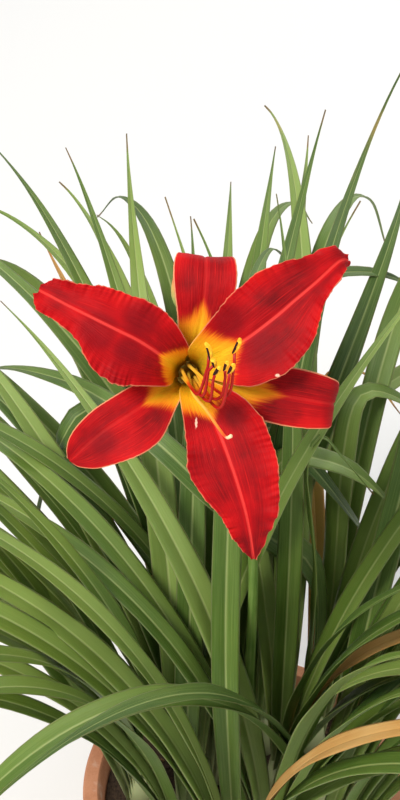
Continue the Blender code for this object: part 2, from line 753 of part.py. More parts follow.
def main():
    leaf_green = surface("leaf", (0.16, 0.26, 0.05), 0.5)
    stalk_green = surface("stalk", (0.20, 0.32, 0.08), 0.5)
    petal_red = surface("petal", (0.62, 0.012, 0.012), 0.5)
    stamen_orange = surface("stamen", (0.75, 0.12, 0.02), 0.5)
    style_cream = surface("style", (0.85, 0.55, 0.12), 0.5)
    bud_green = surface("bud", (0.35, 0.36, 0.10), 0.5)
    clay = surface("clay", (0.52, 0.22, 0.12), 0.85)
    earth = surface("earth", (0.045, 0.030, 0.020), 0.95)
    pot(clay)
    soil(earth)
    scape(stalk_green)
    flower_base(stalk_green)
    for name, rows in PETALS.items():
        tepal(name, PETAL_TUBE, rows, PETAL_GRID, RUFFLE_DEPTH, petal_red)
    for name, rows in SEPALS.items():
        tepal(name, SEPAL_TUBE, rows, SEPAL_GRID, 0.0, petal_red)
    for number, points in enumerate(STAMENS, 1):
        stamen(number, points, stamen_orange)
    pistil(style_cream)
    for name, (foot, tip, radius) in BUDS.items():
        bud(name, foot, tip, radius, bud_green)
    build_fans(leaf_green)


for old in list(bpy.data.objects):
    bpy.data.objects.remove(old)
PLANT = bpy.data.collections.new("daylily_plant")
bpy.context.scene.collection.children.link(PLANT)
CUTTERS = bpy.data.collections.new("cutters")
CUTTERS.hide_render = True
bpy.context.scene.collection.children.link(CUTTERS)
main()
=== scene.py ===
"""Looks of the potted daylily: fine leaves, bloom, stalk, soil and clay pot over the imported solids.

Metres, +Z up. The origin is the centre of the pot's underside. The bloom faces -Y and upwards.
"""

import math
import random

import bmesh
import bpy
from mathutils import Matrix, Vector, noise
from mathutils.bvhtree import BVHTree


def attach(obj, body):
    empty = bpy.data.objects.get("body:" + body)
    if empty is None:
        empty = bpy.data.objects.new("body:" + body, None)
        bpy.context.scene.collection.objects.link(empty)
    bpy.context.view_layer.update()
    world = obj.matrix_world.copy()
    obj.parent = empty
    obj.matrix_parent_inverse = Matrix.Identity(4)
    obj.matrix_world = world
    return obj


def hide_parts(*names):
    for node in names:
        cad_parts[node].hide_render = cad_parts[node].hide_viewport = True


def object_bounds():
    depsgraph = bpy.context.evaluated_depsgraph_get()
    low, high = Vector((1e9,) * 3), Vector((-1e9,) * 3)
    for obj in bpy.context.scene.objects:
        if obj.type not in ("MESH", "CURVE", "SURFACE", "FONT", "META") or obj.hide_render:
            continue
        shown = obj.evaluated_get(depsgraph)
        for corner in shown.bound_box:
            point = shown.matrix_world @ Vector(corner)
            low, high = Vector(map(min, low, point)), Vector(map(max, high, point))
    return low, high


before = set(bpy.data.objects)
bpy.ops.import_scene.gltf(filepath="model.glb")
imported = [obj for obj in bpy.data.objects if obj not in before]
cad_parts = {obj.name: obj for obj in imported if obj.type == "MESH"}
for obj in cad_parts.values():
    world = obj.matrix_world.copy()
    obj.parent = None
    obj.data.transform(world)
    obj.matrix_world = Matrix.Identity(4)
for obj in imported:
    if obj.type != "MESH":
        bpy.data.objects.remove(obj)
CAD_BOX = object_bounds()

MM = 0.001

# Pot and soil, as in the solids but with more sides, and the number of bark chips
POT_HEIGHT = 0.165
POT_BASE_RADIUS = 0.072
POT_TOP_RADIUS = 0.103
POT_WALL = 0.006
POT_FLOOR = 0.008
RIM_HEIGHT = 0.028
RIM_PROUD = 0.005
DRAIN_HOLES = 5
DRAIN_RADIUS = 0.0045
DRAIN_CIRCLE = 0.046
SOIL_TOP = 0.150
POT_SIDES = 128
CHIPS = 420

# Leaf fans, as in the solids
FANS = 12
FAN_CIRCLE = 0.074
LEAVES_PER_FAN = 9
FRONT_LEAVES = 7
FRONT = -0.02
LEAF_ROWS = 6
LEAF_ROW_CROWDING = 0.85
LEAF_THICKNESS = 0.0012
LEAF_CLEARANCE = 0.0012
LEAF_TRIES = 50
CROWN_RADIUS = 0.0095
CROWN_HEIGHT = 0.030
CROWN_DEPTH = 0.010
CROWN_STRETCH = 1.35
GOLDEN_ANGLE = math.radians(137.5)

# Rows and columns of a fine leaf, then the share of the rule's leaves that wither
FINE_ROWS = 46
FINE_COLUMNS = 10
DRY_SHARE = 0.05

# Which placed leaves are dry, and how dry
DRY_PLACED = {7: 1.0, 9: 0.62}

# How a leaf grows by rule: the range of each draw and what age adds, in degrees and metres
LEAF_LEAN = (1, 3)
LEAF_LEAN_WITH_AGE = 13
LEAF_BEND = (48, 78)
LEAF_BEND_WITH_AGE = 50
LEAF_SWEEP = 35
LEAF_TURN_BACK = 0.22
LEAF_LENGTH = (0.44, 0.54)
LEAF_WIDTH = (0.0150, 0.0205)
LEAF_STEPS = 24

# Room that leaves by rule keep: from the floor, the pot's rim, the bloom and the stalk
FLOOR_ROOM = 0.03
RIM_ROOM_ABOVE = 0.012
RIM_ROOM_INSIDE = 0.014
RIM_ROOM_OUTSIDE = 0.016
BLOOM_ROOM = 0.085
SCAPE_ROOM = 0.017

# Bloom, as in the solids but thinner and finer, and with its own tip on the upper left petal
BLOOM = Vector((-0.035, -0.050, 0.600))
BLOOM_ELEVATION = math.radians(45)
TUBE_END = -42
TEPAL_THICKNESS = 0.0006
PETAL_GRID = (48, 250)
SEPAL_GRID = (36, 130)
SCAPE_RADIUS = 0.0034
SCAPE_POINTS = (
    Vector((0.000, 0.000, 0.141)),
    Vector((0.001, 0.001, 0.260)),
    Vector((0.001, 0.003, 0.400)),
    Vector((-0.010, 0.004, 0.490)),
    Vector((-0.026, -0.002, 0.545)),
)

# The tube that the six tepals form: radius, height from the throat and half-width of a tepal, in mm
PETAL_TUBE = ((4.9, TUBE_END, 4.2), (7.0, -24, 6.0))
SEPAL_TUBE = ((6.1, TUBE_END, 4.7), (8.4, -24, 6.4))

# Each row of a tepal after the tube, in mm: its midrib point (right, up, towards the viewer) from the
# throat, the half-widths of its two sides, and the radius of its cupped section
PETALS = {
    "petal_upper_left": (
        (-10, 6, -9, 14, 13, 14),
        (-22, 14, 1, 23, 18.5, 40),
        (-34, 20, 5, 22, 17.5, 90),
        (-45, 25.5, 5, 13.5, 15.5, 70),
        (-56, 31, 3, 9.5, 11.5, 50),
        (-65.5, 36.2, 0, 9, 8.5, 40),
        (-69, 38, -2, 6.5, 6, 30),
        (-70.5, 38.8, -3, 3, 3, 30),
    ),
    "petal_upper_right": (
        (10, 7, -9, 11.5, 11.5, 13),
        (25, 14, 2, 19, 22.5, 40),
        (40, 25, 6, 21.5, 23, 90),
        (50, 33.5, 6, 20, 16, 90),
        (60, 42, 5, 15, 8.5, 60),
        (71, 52, 1, 9, 5.5, 30),
        (76, 53, -4, 2.5, 2.5, 30),
    ),
    "petal_lower": (
        (5, -11, -9, 10, 9.5, 13),
        (13, -25, 1, 19.5, 15.5, 40),
        (20, -43, 5, 21.5, 20, 90),
        (26, -62, 4, 17.5, 13, 90),
        (29, -75, 0, 10.5, 9, 60),
        (30.5, -85, -4, 4.5, 4, 40),
        (31, -88.5, -6, 1.2, 1.2, 30),
    ),
}
SEPALS = {
    "sepal_top": (
        (3, 13, -15, 8.5, 8.5, 15),
        (6.5, 27, -10, 12, 12, 40),
        (8, 42, -8, 15, 15, 70),
        (8.5, 53, -11, 15, 14, 70),
        (8, 56, -20, 11, 10, 60),
        (7.5, 54, -31, 2, 2, 30),
    ),
    "sepal_lower_left": (
        (-12, -9, -15, 10, 9, 15),
        (-25, -18, -9, 19, 11, 60),
        (-39, -27, -8, 18, 11, 90),
        (-50, -36, -11, 12.5, 9, 90),
        (-55, -40.5, -14, 6.5, 5, 50),
        (-57, -42, -15, 1.5, 1.5, 30),
    ),
    "sepal_right": (
        (14, -4, -15, 9, 9, 15),
        (32, -9, -10, 12.5, 12.5, 60),
        (50, -12, -7, 14, 14, 90),
        (65, -14.5, -9, 12.5, 12.5, 90),
        (70, -15, -17, 9.5, 10, 60),
        (68, -15, -29, 2, 2, 30),
    ),
}
RUFFLE_DEPTH = 1.5
RUFFLE_WAVES = 6
PLEATS = 40
MARGIN_ROOM = 0.003

# How far the yellow of the throat runs up each tepal, in mm from the bloom's axis
THROATS = {
    "petal_upper_left": 12,
    "petal_upper_right": 22,
    "petal_lower": 20,
    "sepal_top": 26,
    "sepal_lower_left": 20,
    "sepal_right": 35,
}

# Dark crimson patches, partly real blotches and partly painted shade where the tepals fold: right and up in
# mm from the throat, then their radius
CRIMSON_AND_FOLD_SHADE_PATCHES = (
    (-41, -33, 12),
    (-42, 19, 15),
    (-28, 10, 12),
    (-22, 25, 14),
    (19, 24, 14),
    (37, 11, 18),
    (22, -20, 10),
)

# Pale nicks in the petals: right and up in mm from the throat, then half-width and half-length
NICKS = ((3.8, -24.0, 0.5, 3.0), (41.8, -1.8, 1.3, 0.6), (12.2, -36.0, 0.35, 0.35))

# Each stamen in mm: four points along its filament, then the anther's two ends
STAMENS = (
    ((-3.3, 1.6, -26), (1.6, -7.6, 10), (5.2, -10, 20),
        (9.2, 2.0, 31), (10.2, 5.0, 33), (8.0, 12.6, 35)),
    ((-3.0, -2.0, -26), (4.0, -9.6, 14), (7.5, -10.5, 24),
        (9.4, 0.0, 33), (12.2, 1.6, 34), (10.6, 5.4, 38)),
    ((1.9, -3.3, -26), (6.6, -11.6, 15), (10.2, -13.2, 25),
        (11.6, -4.0, 34), (11.8, -2.0, 35), (14.4, 1.8, 41)),
    ((3.2, 1.8, -26), (10.0, -11.4, 13), (15.4, -11.4, 24),
        (17.0, -3.0, 32), (16.4, 0.0, 33), (17.8, 4.4, 36)),
    ((3.1, -2.0, -26), (10.6, -14.2, 16), (15.4, -16.2, 28),
        (18.4, -4.6, 38), (18.2, -1.4, 39), (20.6, 3.2, 43)),
    ((0.0, 3.8, -26), (13.6, -9.0, 14), (19.0, -10.2, 23),
        (21.0, 3.0, 32), (20.4, 7.8, 33), (23.6, 14.6, 35)),
)
FILAMENT_RADIUS = 0.0006
ANTHER_RADIUS = 0.00125
PISTIL_POINTS = (
    (0, 0, -33),
    (0.2, -2.0, -20),
    (2.6, -10.4, -2),
    (8.6, -18, 16),
    (14.8, -27, 30),
    (17.6, -30, 37),
    (19.4, -29.2, 41),
)
PISTIL_RADIUS = 0.0007
PISTIL_ROWS = 60
STIGMA_ROWS = 4
STIGMA_SPREAD = 1.25
BASE_PATH = ((3, 14, -66), (1.5, 6, -59), (0, 0, -50), (0, 0, TUBE_END - 2), (0, 0, TUBE_END - 0.5))
BASE_RADII = (1.9, 1.9, 2.3, 6.6, 6.9)
BUDS = {
    "bud_large": ((9.5, 30, -62), (8, 50, -30), 4.4),
    "bud_medium": ((-4, 28, -69), (-7, 50, -52), 3.2),
    "bud_small": ((1.5, 18, -75), (2, 32, -78), 2.1),
}
BUD_PROFILE = (0.5, 0.42, 0.42, 0.8, 1.0, 0.98, 0.8, 0.5, 0.14)
BUD_ROWS = 48

# Stalk: its rows, its branches' radii in mm, and each bract's share along it and its turn
SCAPE_ROWS = 90
BRANCH_RADII = (2.2, 2.2, 1.9, 1.9)
BRANCH_ROWS = 24
BRACTS = ((0.90, 0.3), (0.965, 2.6))
BRACT_PROFILE = (0.9, 1.0, 0.7, 0.35, 0.06)
BRACT_LENGTH = 0.026
BRACT_ROWS = 24

# Leaves placed one by one: the fan, the width in mm, then the midrib's points in mm
PLACED_LEAVES = (
    (8, 19, ((45, 66, 300), (12, 49, 365), (-21, 41, 410), (-48, 53, 435), (-83, 88, 440),
        (-119, 126, 425), (-166, 175, 385), (-205, 210, 320))),
    (6, 20, ((-52, 72, 290), (-76, 100, 385), (-98, 108, 415), (-117, 96, 393), (-131, 98, 343),
        (-143, 108, 270))),
    (11, 21, ((-14, 80, 250), (-24, 94, 330), (-30, 118, 385), (-26, 160, 405), (-20, 205, 385))),
    (3, 19, ((14, 90, 290), (22, 160, 390), (42, 208, 425), (78, 222, 428), (115, 232, 403),
        (150, 238, 345))),
    (3, 21, ((8, 60, 270), (8, 80, 355), (22, 86, 393), (45, 78, 402), (70, 70, 394), (96, 75, 350),
        (115, 85, 285))),
    (11, 18, ((-4, 92, 260), (0, 116, 350), (14, 120, 388), (37, 100, 378), (62, 92, 344), (87, 96, 292),
        (104, 104, 230))),
    (8, 8, ((42, 42, 330), (33, 48, 420), (39, 52, 450), (53, 54, 432), (74, 50, 402))),
    (6, 13, ((-58, 96, 270), (-88, 165, 360), (-114, 222, 402), (-128, 250, 414), (-140, 285, 410))),
    (8, 18, ((58, 78, 270), (62, 118, 360), (72, 139, 396), (99, 146, 386), (127, 152, 345),
        (146, 158, 280))),
    (8, 13, ((50, 90, 260), (46, 155, 335), (58, 194, 360), (84, 206, 350), (112, 212, 305))),
    (11, 19, ((-12, 112, 290), (-6, 165, 380), (4, 215, 425), (18, 262, 438), (36, 305, 420),
        (52, 338, 375))),
    (3, 18, ((22, 96, 290), (36, 165, 395), (50, 225, 438), (70, 280, 440), (92, 325, 405),
        (108, 352, 345))),
    (8, 18, ((62, 92, 290), (84, 155, 390), (110, 215, 432), (142, 268, 430), (176, 312, 385),
        (198, 338, 320))),
    (11, 18, ((-20, 118, 290), (-40, 190, 395), (-60, 250, 435), (-84, 305, 425), (-104, 345, 375))),
    (5, 18, ((76, 30, 310), (103, 95, 425), (110, 158, 476), (120, 215, 488), (134, 265, 472),
        (148, 305, 430))),
    (11, 19, ((14, 122, 245), (60, 192, 300), (118, 242, 318), (182, 280, 308), (236, 308, 262))),
    (6, 19, ((-62, 110, 290), (-104, 185, 385), (-152, 245, 405), (-204, 292, 380), (-246, 326, 320))),
    (7, 17, ((-14, -20, 320), (-12, 40, 432), (-6, 100, 478), (4, 152, 484), (16, 205, 462),
        (30, 248, 415))),
)


# Curves and places

def mix(a, b, t):
    return a + (b - a) * t


def smooth(t):
    t = min(1.0, max(0.0, t))
    return t * t * (3 - 2 * t)


def spline(rows, t):
    """A row on the Catmull-Rom curve through rows of numbers, at t from 0 to 1."""
    span = t * (len(rows) - 1)
    i = min(int(span), len(rows) - 2)
    u = span - i
    before = rows[i - 1] if i else [2 * a - b for a, b in zip(rows[0], rows[1])]
    if i + 2 < len(rows):
        after = rows[i + 2]
    else:
        after = [2 * a - b for a, b in zip(rows[-1], rows[-2])]
    return [
        b + 0.5 * u * (c - a + u * (2 * a - 5 * b + 4 * c - d + u * (3 * (b - c) + d - a)))
        for a, b, c, d in zip(before, rows[i], rows[i + 1], after)
    ]


def even_rows(rows, count, crowding=1.0):
    """count + 1 rows along the curve, spaced by the length of its first three numbers."""
    fine = [spline(rows, i / 200) for i in range(201)]
    reach = [0.0]
    for a, b in zip(fine, fine[1:]):
        reach.append(reach[-1] + (Vector(b[:3]) - Vector(a[:3])).length)
    made, j = [], 0
    for i in range(count + 1):
        goal = reach[-1] * (i / count) ** crowding
        while j < 199 and reach[j + 1] < goal:
            j += 1
        u = (goal - reach[j]) / max(reach[j + 1] - reach[j], 1e-9)
        made.append([mix(a, b, u) for a, b in zip(fine[j], fine[j + 1])])
    return made


def flower_frame():
    """The matrix from the bloom's own axes (right, up, towards the viewer) to the plant's."""
    facing = Vector((0, -math.cos(BLOOM_ELEVATION), math.sin(BLOOM_ELEVATION)))
    up = Vector((0, math.sin(BLOOM_ELEVATION), math.cos(BLOOM_ELEVATION)))
    axes = Matrix((Vector((1, 0, 0)), up, facing)).transposed().to_4x4()
    return Matrix.Translation(BLOOM) @ axes


FLOWER = flower_frame()


def at_flower(point_mm):
    return FLOWER @ (Vector(point_mm) * MM)


# Pieces

def add(name, data):
    obj = bpy.data.objects.new(name, data)
    bpy.context.scene.collection.objects.link(obj)
    return obj


def add_form(name, bm):
    """Puts a finished bmesh in the scene as an object."""
    mesh = bpy.data.meshes.new(name)
    bm.to_mesh(mesh)
    bm.free()
    return add(name, mesh)


def piece(name, bm, nodes, slot, *finishes):
    """Turns a bmesh into a shaded piece of the plant that stands for the named solids, inside their box."""
    low, high = CAD_BOX
    for vert in bm.verts:
        vert.co = [min(max(place, low[axis]), high[axis]) for axis, place in enumerate(vert.co)]
    obj = add_form(name, bm)
    obj.data.shade_smooth()
    for finish in finishes:
        obj.data.materials.append(finish)
    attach(obj, "root")
    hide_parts(*nodes)
    return obj


def new_form():
    """An empty bmesh with room for the numbers that the materials read."""
    bm = bmesh.new()
    for name in ("across", "along", "tone", "dry", "reach", "rim", "rib", "nick", "crimson_and_fold_shade"):
        bm.verts.layers.float.new(name)
    return bm


def mark(bm, verts, **values):
    """Writes numbers to the vertices, each under its name, for the materials to read."""
    for name, value in values.items():
        layer = bm.verts.layers.float[name]
        for vert in verts:
            vert[layer] = value(vert) if callable(value) else value


def faces_of(verts):
    return list({face for vert in verts for face in vert.link_faces})


def open_edges(verts):
    edges = {edge for vert in verts for edge in vert.link_edges}
    return [edge for edge in edges if edge.is_boundary]


def frames_along(points):
    """A turning frame at each point that doesn't spin about the path."""
    across = Vector((1, 0, 0))
    made = []
    for i, point in enumerate(points):
        along = (points[min(i + 1, len(points) - 1)] - points[max(i - 1, 0)]).normalized()
        across = across - along * across.dot(along)
        if across.length < 1e-3:
            across = along.orthogonal()
        across.normalize()
        made.append((point, across.copy(), along.cross(across)))
    return made


def rod(bm, points, radii, sides, section=None, slot=0):
    """A closed rod, as a grid wrapped round the points. section gives each side's share of the radius."""
    rows = len(points) - 1
    made = bmesh.ops.create_grid(bm, x_segments=sides, y_segments=rows, size=1)["verts"]
    places = frames_along(points)
    spot = {}
    for vert in made:
        turn = (vert.co.x + 1) / 2 * math.tau
        i = round((vert.co.y + 1) / 2 * rows)
        spot[vert] = i / rows
        point, across, other = places[i]
        radius = radii[i] * (section(turn, i / rows) if section else 1.0)
        vert.co = point + (across * math.cos(turn) + other * math.sin(turn)) * radius
    mark(bm, made, along=lambda vert: spot[vert])
    for face in faces_of(made):
        face.material_index = slot
    bmesh.ops.remove_doubles(bm, verts=made, dist=1e-7)
    made = [vert for vert in made if vert.is_valid]
    capped = bmesh.ops.holes_fill(bm, edges=open_edges(made), sides=sides)["faces"]
    for face in capped:
        face.material_index = slot
    bmesh.ops.recalc_face_normals(bm, faces=faces_of(made))
    return made


def spun(bm, profile, steps):
    """A full spin of (radius, height) points round Z."""
    verts = [bm.verts.new((r, 0, z)) for r, z in profile]
    edges = [bm.edges.new(pair) for pair in zip(verts, verts[1:])]
    bmesh.ops.spin(
        bm, geom=verts + edges, cent=(0, 0, 0), axis=(0, 0, 1), angle=math.tau, steps=steps, use_merge=True
    )
    bmesh.ops.remove_doubles(bm, verts=bm.verts, dist=1e-6)
    bmesh.ops.recalc_face_normals(bm, faces=bm.faces)


# Leaves

def rule_leaf(fan, number, attempt):
    """The midrib's points and the greatest width of a fan's leaf, from seeded draws, as in the solids."""
    draw = random.Random(fan * 7919 + number * 613 + attempt * 31 + 5)
    age = (number + 0.5) / LEAVES_PER_FAN
    side = number % 2
    foot = fan_foot(fan)
    outward = math.atan2(foot.y, foot.x)
    heading = fan_heading(fan) + side * math.pi
    foot = foot + Vector((math.cos(heading), math.sin(heading), 0)) * CROWN_RADIUS * mix(0.1, 0.95, age)
    heading += draw.gauss(0, 0.2 + 0.03 * attempt)
    swing = math.remainder(outward - heading, math.tau)
    heading += swing * draw.uniform(0.15, 0.6) * min(1.0, foot.xy.length / FAN_CIRCLE)
    heading += LEAF_TURN_BACK * math.remainder(math.pi / 2 - heading, math.tau)
    lean = math.radians(draw.uniform(*LEAF_LEAN) + LEAF_LEAN_WITH_AGE * age)
    bend = math.radians(draw.uniform(*LEAF_BEND) + LEAF_BEND_WITH_AGE * age - 0.6 * attempt)
    sweep = math.radians(draw.uniform(-LEAF_SWEEP, LEAF_SWEEP))
    length = draw.uniform(*LEAF_LENGTH) * (1.0 - 0.12 * (1 - age))
    point = foot
    points = [point.copy()]
    for i in range(LEAF_STEPS):
        t = (i + 0.5) / LEAF_STEPS
        angle = lean + bend * t**1.7
        turn = heading + sweep * t * t
        point = point + Vector(
            (math.sin(angle) * math.cos(turn), math.sin(angle) * math.sin(turn), math.cos(angle))
        ) * (length / LEAF_STEPS)
        points.append(point.copy())
    return points, draw.uniform(*LEAF_WIDTH)


def fan_foot(fan):
    radius = FAN_CIRCLE * math.sqrt((fan + 1.4) / (FANS + 0.4))
    angle = fan * GOLDEN_ANGLE + 0.4
    return Vector((radius * math.cos(angle), radius * math.sin(angle), SOIL_TOP + 0.006))


def leaf_count(fan):
    """Fewer leaves in the front fans, where the soil shows between them."""
    return FRONT_LEAVES if fan_foot(fan).y < FRONT else LEAVES_PER_FAN


def fan_heading(fan):
    return random.Random(fan * 101 + 3).uniform(0, math.tau)


def leaf_half_width(t, width):
    widening = mix(0.62, 1.0, smooth(t / 0.3))
    narrowing = 1 - smooth((t - 0.45) / 0.56) ** 1.15
    return 0.5 * width * widening * narrowing + 0.0004 * t


def leaf_sheet(bm, points, width, rows, columns=2, extra=0.0, wave=0.0, seed=0):
    """Shapes a grid into one keeled, closed blade. Returns its vertices' places across and along."""
    upper = bmesh.ops.create_grid(bm, x_segments=columns, y_segments=rows, size=1)["verts"]
    if columns == 2:
        bmesh.ops.triangulate(bm, faces=faces_of(upper), quad_method="FIXED")
    copied = bmesh.ops.duplicate(bm, geom=upper + faces_of(upper))["geom"]
    lower = [item for item in copied if isinstance(item, bmesh.types.BMVert)]
    bmesh.ops.reverse_faces(bm, faces=[item for item in copied if isinstance(item, bmesh.types.BMFace)])
    line = even_rows([tuple(p) for p in points], rows, LEAF_ROW_CROWDING)
    chord = Vector(points[-1]) - Vector(points[0])
    chord.z = 0
    spot = {}
    for verts, drop in ((upper, 0.0), (lower, 1.0)):
        for vert in verts:
            v, i = vert.co.x, round((vert.co.y + 1) / 2 * rows)
            t = (i / rows) ** LEAF_ROW_CROWDING
            here = Vector(line[i])
            along = (Vector(line[min(i + 1, rows)]) - Vector(line[max(i - 1, 0)])).normalized()
            flat = along.copy()
            flat.z = 0
            heading = chord.normalized().lerp(flat, smooth((t - 0.3) / 0.4) * min(1, 2 * flat.length))
            across = Vector((-heading.y, heading.x, 0)).normalized()
            across = (across - along * across.dot(along)).normalized()
            normal = along.cross(across)
            half = leaf_half_width(t, width)
            fold = mix(0.75, 0.28, smooth(t / 0.5)) * half
            thick = LEAF_THICKNESS * mix(1.3, 0.7, t)
            lift = fold * abs(v)
            if abs(v) < 0.99:
                lift += extra - drop * (thick * (1 - v**4) + 2 * extra)
            if wave:
                lift += wave * abs(v) ** 2 * math.sin(t * 31 + seed * 5 + (2 if v > 0 else 0)) * smooth(t * 4)
                lift -= 0.5 * fold * abs(v) ** 3
            vert.co = here - across * v * (half + extra) + normal * lift
            spot[vert] = (v, t)
    bmesh.ops.remove_doubles(bm, verts=upper + lower, dist=1e-6)
    made = [vert for vert in upper + lower if vert.is_valid]
    bmesh.ops.holes_fill(bm, edges=open_edges(made), sides=2 * columns)
    return {vert: spot[vert] for vert in made}


def leaf_tree(points, width, extra=0.0):
    bm = bmesh.new()
    leaf_sheet(bm, points, width, LEAF_ROWS, extra=extra)
    tree = BVHTree.FromBMesh(bm)
    bm.free()
    return tree


def placed_leaf(fan, width, points):
    foot = fan_foot(fan)
    goal = Vector(points[0]) * MM - foot
    foot += Vector((goal.x, goal.y, 0)).normalized() * CROWN_RADIUS * 0.7
    return [foot, *(Vector(p) * MM for p in points)], width * MM


def grow_leaves():
    """Chooses every leaf as the solids do: the placed ones, then the rule's at its first clear draw."""
    grown = {fan: [] for fan in range(FANS)}
    trees = []

    def keep(fan, leaf, number):
        grown[fan].append((*leaf, number))
        trees.append((fan, leaf_tree(*leaf)))

    for place, (fan, width, points) in enumerate(PLACED_LEAVES):
        keep(fan, placed_leaf(fan, width, points), -1 - place)
    for number in range(LEAVES_PER_FAN - 1, -1, -1):
        for fan in range(FANS):
            if len(grown[fan]) >= leaf_count(fan):
                continue
            for attempt in range(LEAF_TRIES):
                leaf = rule_leaf(fan, number, attempt)
                if leaf_is_clear(fan, leaf, trees):
                    keep(fan, leaf, number)
                    break
    return grown


def leaf_is_clear(fan, leaf, trees):
    points, width = leaf
    if in_the_way(points):
        return False
    tree = leaf_tree(points, width, LEAF_CLEARANCE)
    return not any(tree.overlap(other) for owner, other in trees if owner != fan)


def in_the_way(points):
    """True if a leaf would reach the pot, the scape, or the space round the bloom."""
    for point in points:
        if point.z < FLOOR_ROOM:
            return True
        if point.z < POT_HEIGHT + RIM_ROOM_ABOVE and point.xy.length > POT_TOP_RADIUS - RIM_ROOM_INSIDE:
            if point.xy.length < POT_TOP_RADIUS + RIM_PROUD + RIM_ROOM_OUTSIDE:
                return True
        if (point - BLOOM).length < BLOOM_ROOM:
            return True
        if scape_distance(point) < SCAPE_ROOM:
            return True
    return False


def scape_distance(point):
    return min(
        (point - a.lerp(b, i / 6)).length for a, b in zip(SCAPE_POINTS, SCAPE_POINTS[1:]) for i in range(7)
    )


def crown(bm, fan):
    """The bundle of leaf bases that a fan rises from."""
    depth = CROWN_HEIGHT + CROWN_DEPTH
    foot = fan_foot(fan)
    place = Matrix.Translation((foot.x, foot.y, SOIL_TOP - CROWN_DEPTH + depth / 2))
    verts = bmesh.ops.create_cone(
        bm,
        cap_ends=True,
        segments=28,
        radius1=CROWN_RADIUS,
        radius2=CROWN_RADIUS * 0.62,
        depth=depth,
        matrix=place @ Matrix.Rotation(fan_heading(fan), 4, "Z") @ Matrix.Diagonal((CROWN_STRETCH, 1, 1, 1)),
    )["verts"]
    mark(bm, verts, across=0.6, along=0.0, tone=0.5, dry=0.0)


def leaf_looks(fan, number, order):
    """How light and how dry a leaf is: the oldest leaves wither first. Placed leaves have numbers below 0."""
    draw = random.Random(fan * 57 + order * 13 + 900)
    tone = draw.random()
    if number < 0:
        return tone, DRY_PLACED.get(-1 - number, 0.05)
    age = (number + 0.5) / LEAVES_PER_FAN
    dry = draw.uniform(0.55, 1.0) if draw.random() < DRY_SHARE * 2 * age else 0.12 * draw.random()
    return tone, dry


def fans(finish):
    for fan, leaves in grow_leaves().items():
        bm = new_form()
        crown(bm, fan)
        for order, (points, width, number) in enumerate(leaves):
            spot = leaf_sheet(bm, points, width, FINE_ROWS, FINE_COLUMNS, wave=0.0005, seed=fan * 9 + order)
            tone, dry = leaf_looks(fan, number, order)
            mark(bm, spot, across=picker(spot, 0), along=picker(spot, 1), tone=tone, dry=dry)
        name = f"leaf_fan_{fan + 1:02d}"
        piece(f"fine_{name}", bm, [name], "leaf", finish)


# Bloom

def tepal(name, tube_rows, rows, grid, ruffle, slot, finish):
    """One petal or sepal: a grid bent to its midrib, cupped by its radius, waved at its margin."""
    bm = new_form()
    across_count, along_count = grid
    bmesh.ops.create_grid(bm, x_segments=across_count, y_segments=along_count, size=1)
    tip = Vector(rows[-2][:3])
    outward = Vector((tip.x, tip.y, 0)).normalized()
    feet = [(outward.x * r, outward.y * r, z, half, half, r) for r, z, half in tube_rows]
    line = even_rows([*feet, *rows], along_count)
    sideways = Vector((0, 0, 1)).cross(outward)
    seed = sum(map(ord, name))
    spot = {}
    for vert in bm.verts:
        v, t = -vert.co.x, (vert.co.y + 1) / 2
        i = round(t * along_count)
        here = line[i]
        along = (Vector(line[min(i + 1, along_count)][:3]) - Vector(line[max(i - 1, 0)][:3])).normalized()
        side = (sideways - along * sideways.dot(along)).normalized()
        normal = along.cross(side)
        half = here[3] if v > 0 else here[4]
        cup = here[5]
        x = v * half * edge_reach(v, t, ruffle, seed)
        co = Vector(here[:3]) + side * cup * math.sin(x / cup) + normal * cup * (1 - math.cos(x / cup))
        co += normal * tepal_relief(v, t, ruffle, seed)
        vert.co = under_top(at_flower(co))
        reach = co.xy.length / THROATS[name]
        spot[vert] = (v, t, reach, (1 - abs(v)) * half, abs(v) * half, nick_at(co), crimson_and_fold_shade_at(co))
    values = ("across", "along", "reach", "rim", "rib", "nick", "crimson_and_fold_shade")
    mark(bm, bm.verts[:], **{value: picker(spot, i) for i, value in enumerate(values)})
    obj = piece(f"fine_{name}", bm, [name], slot, finish)
    solid = obj.modifiers.new("thickness", "SOLIDIFY")
    solid.thickness = TEPAL_THICKNESS
    solid.offset = -1


def under_top(co):
    """Eases a raised margin under the top of the solids' box."""
    over = co.z - (CAD_BOX[1][2] - MARGIN_ROOM)
    if over > 0:
        co.z -= over - MARGIN_ROOM * (1 - math.exp(-over / MARGIN_ROOM))
    return co


def picker(spot, i):
    return lambda vert: spot[vert][i]


def nick_at(co):
    """1 in the middle of a nick, 0 at its edge and beyond."""
    return max(0.0, *(1 - math.hypot((co.x - x) / wide, (co.y - y) / long) for x, y, wide, long in NICKS))


# Strength of the dark crimson patches: partly real blotches, partly painted fold shade
def crimson_and_fold_shade_at(co):
    return max(smooth(1 - math.hypot(co.x - x, co.y - y) / radius) for x, y, radius in CRIMSON_AND_FOLD_SHADE_PATCHES)


def edge_reach(v, t, ruffle, seed):
    """The share of its smooth half-width that a tepal's uneven margin reaches."""
    lobes = noise.noise(Vector((t * 9, math.copysign(3, v), seed)))
    teeth = noise.noise(Vector((t * 42, math.copysign(7, v), seed)))
    return 1 + abs(v) ** 4 * smooth((t - 0.3) / 0.2) * (0.02 + 0.02 * ruffle) * (lobes + 0.7 * teeth)


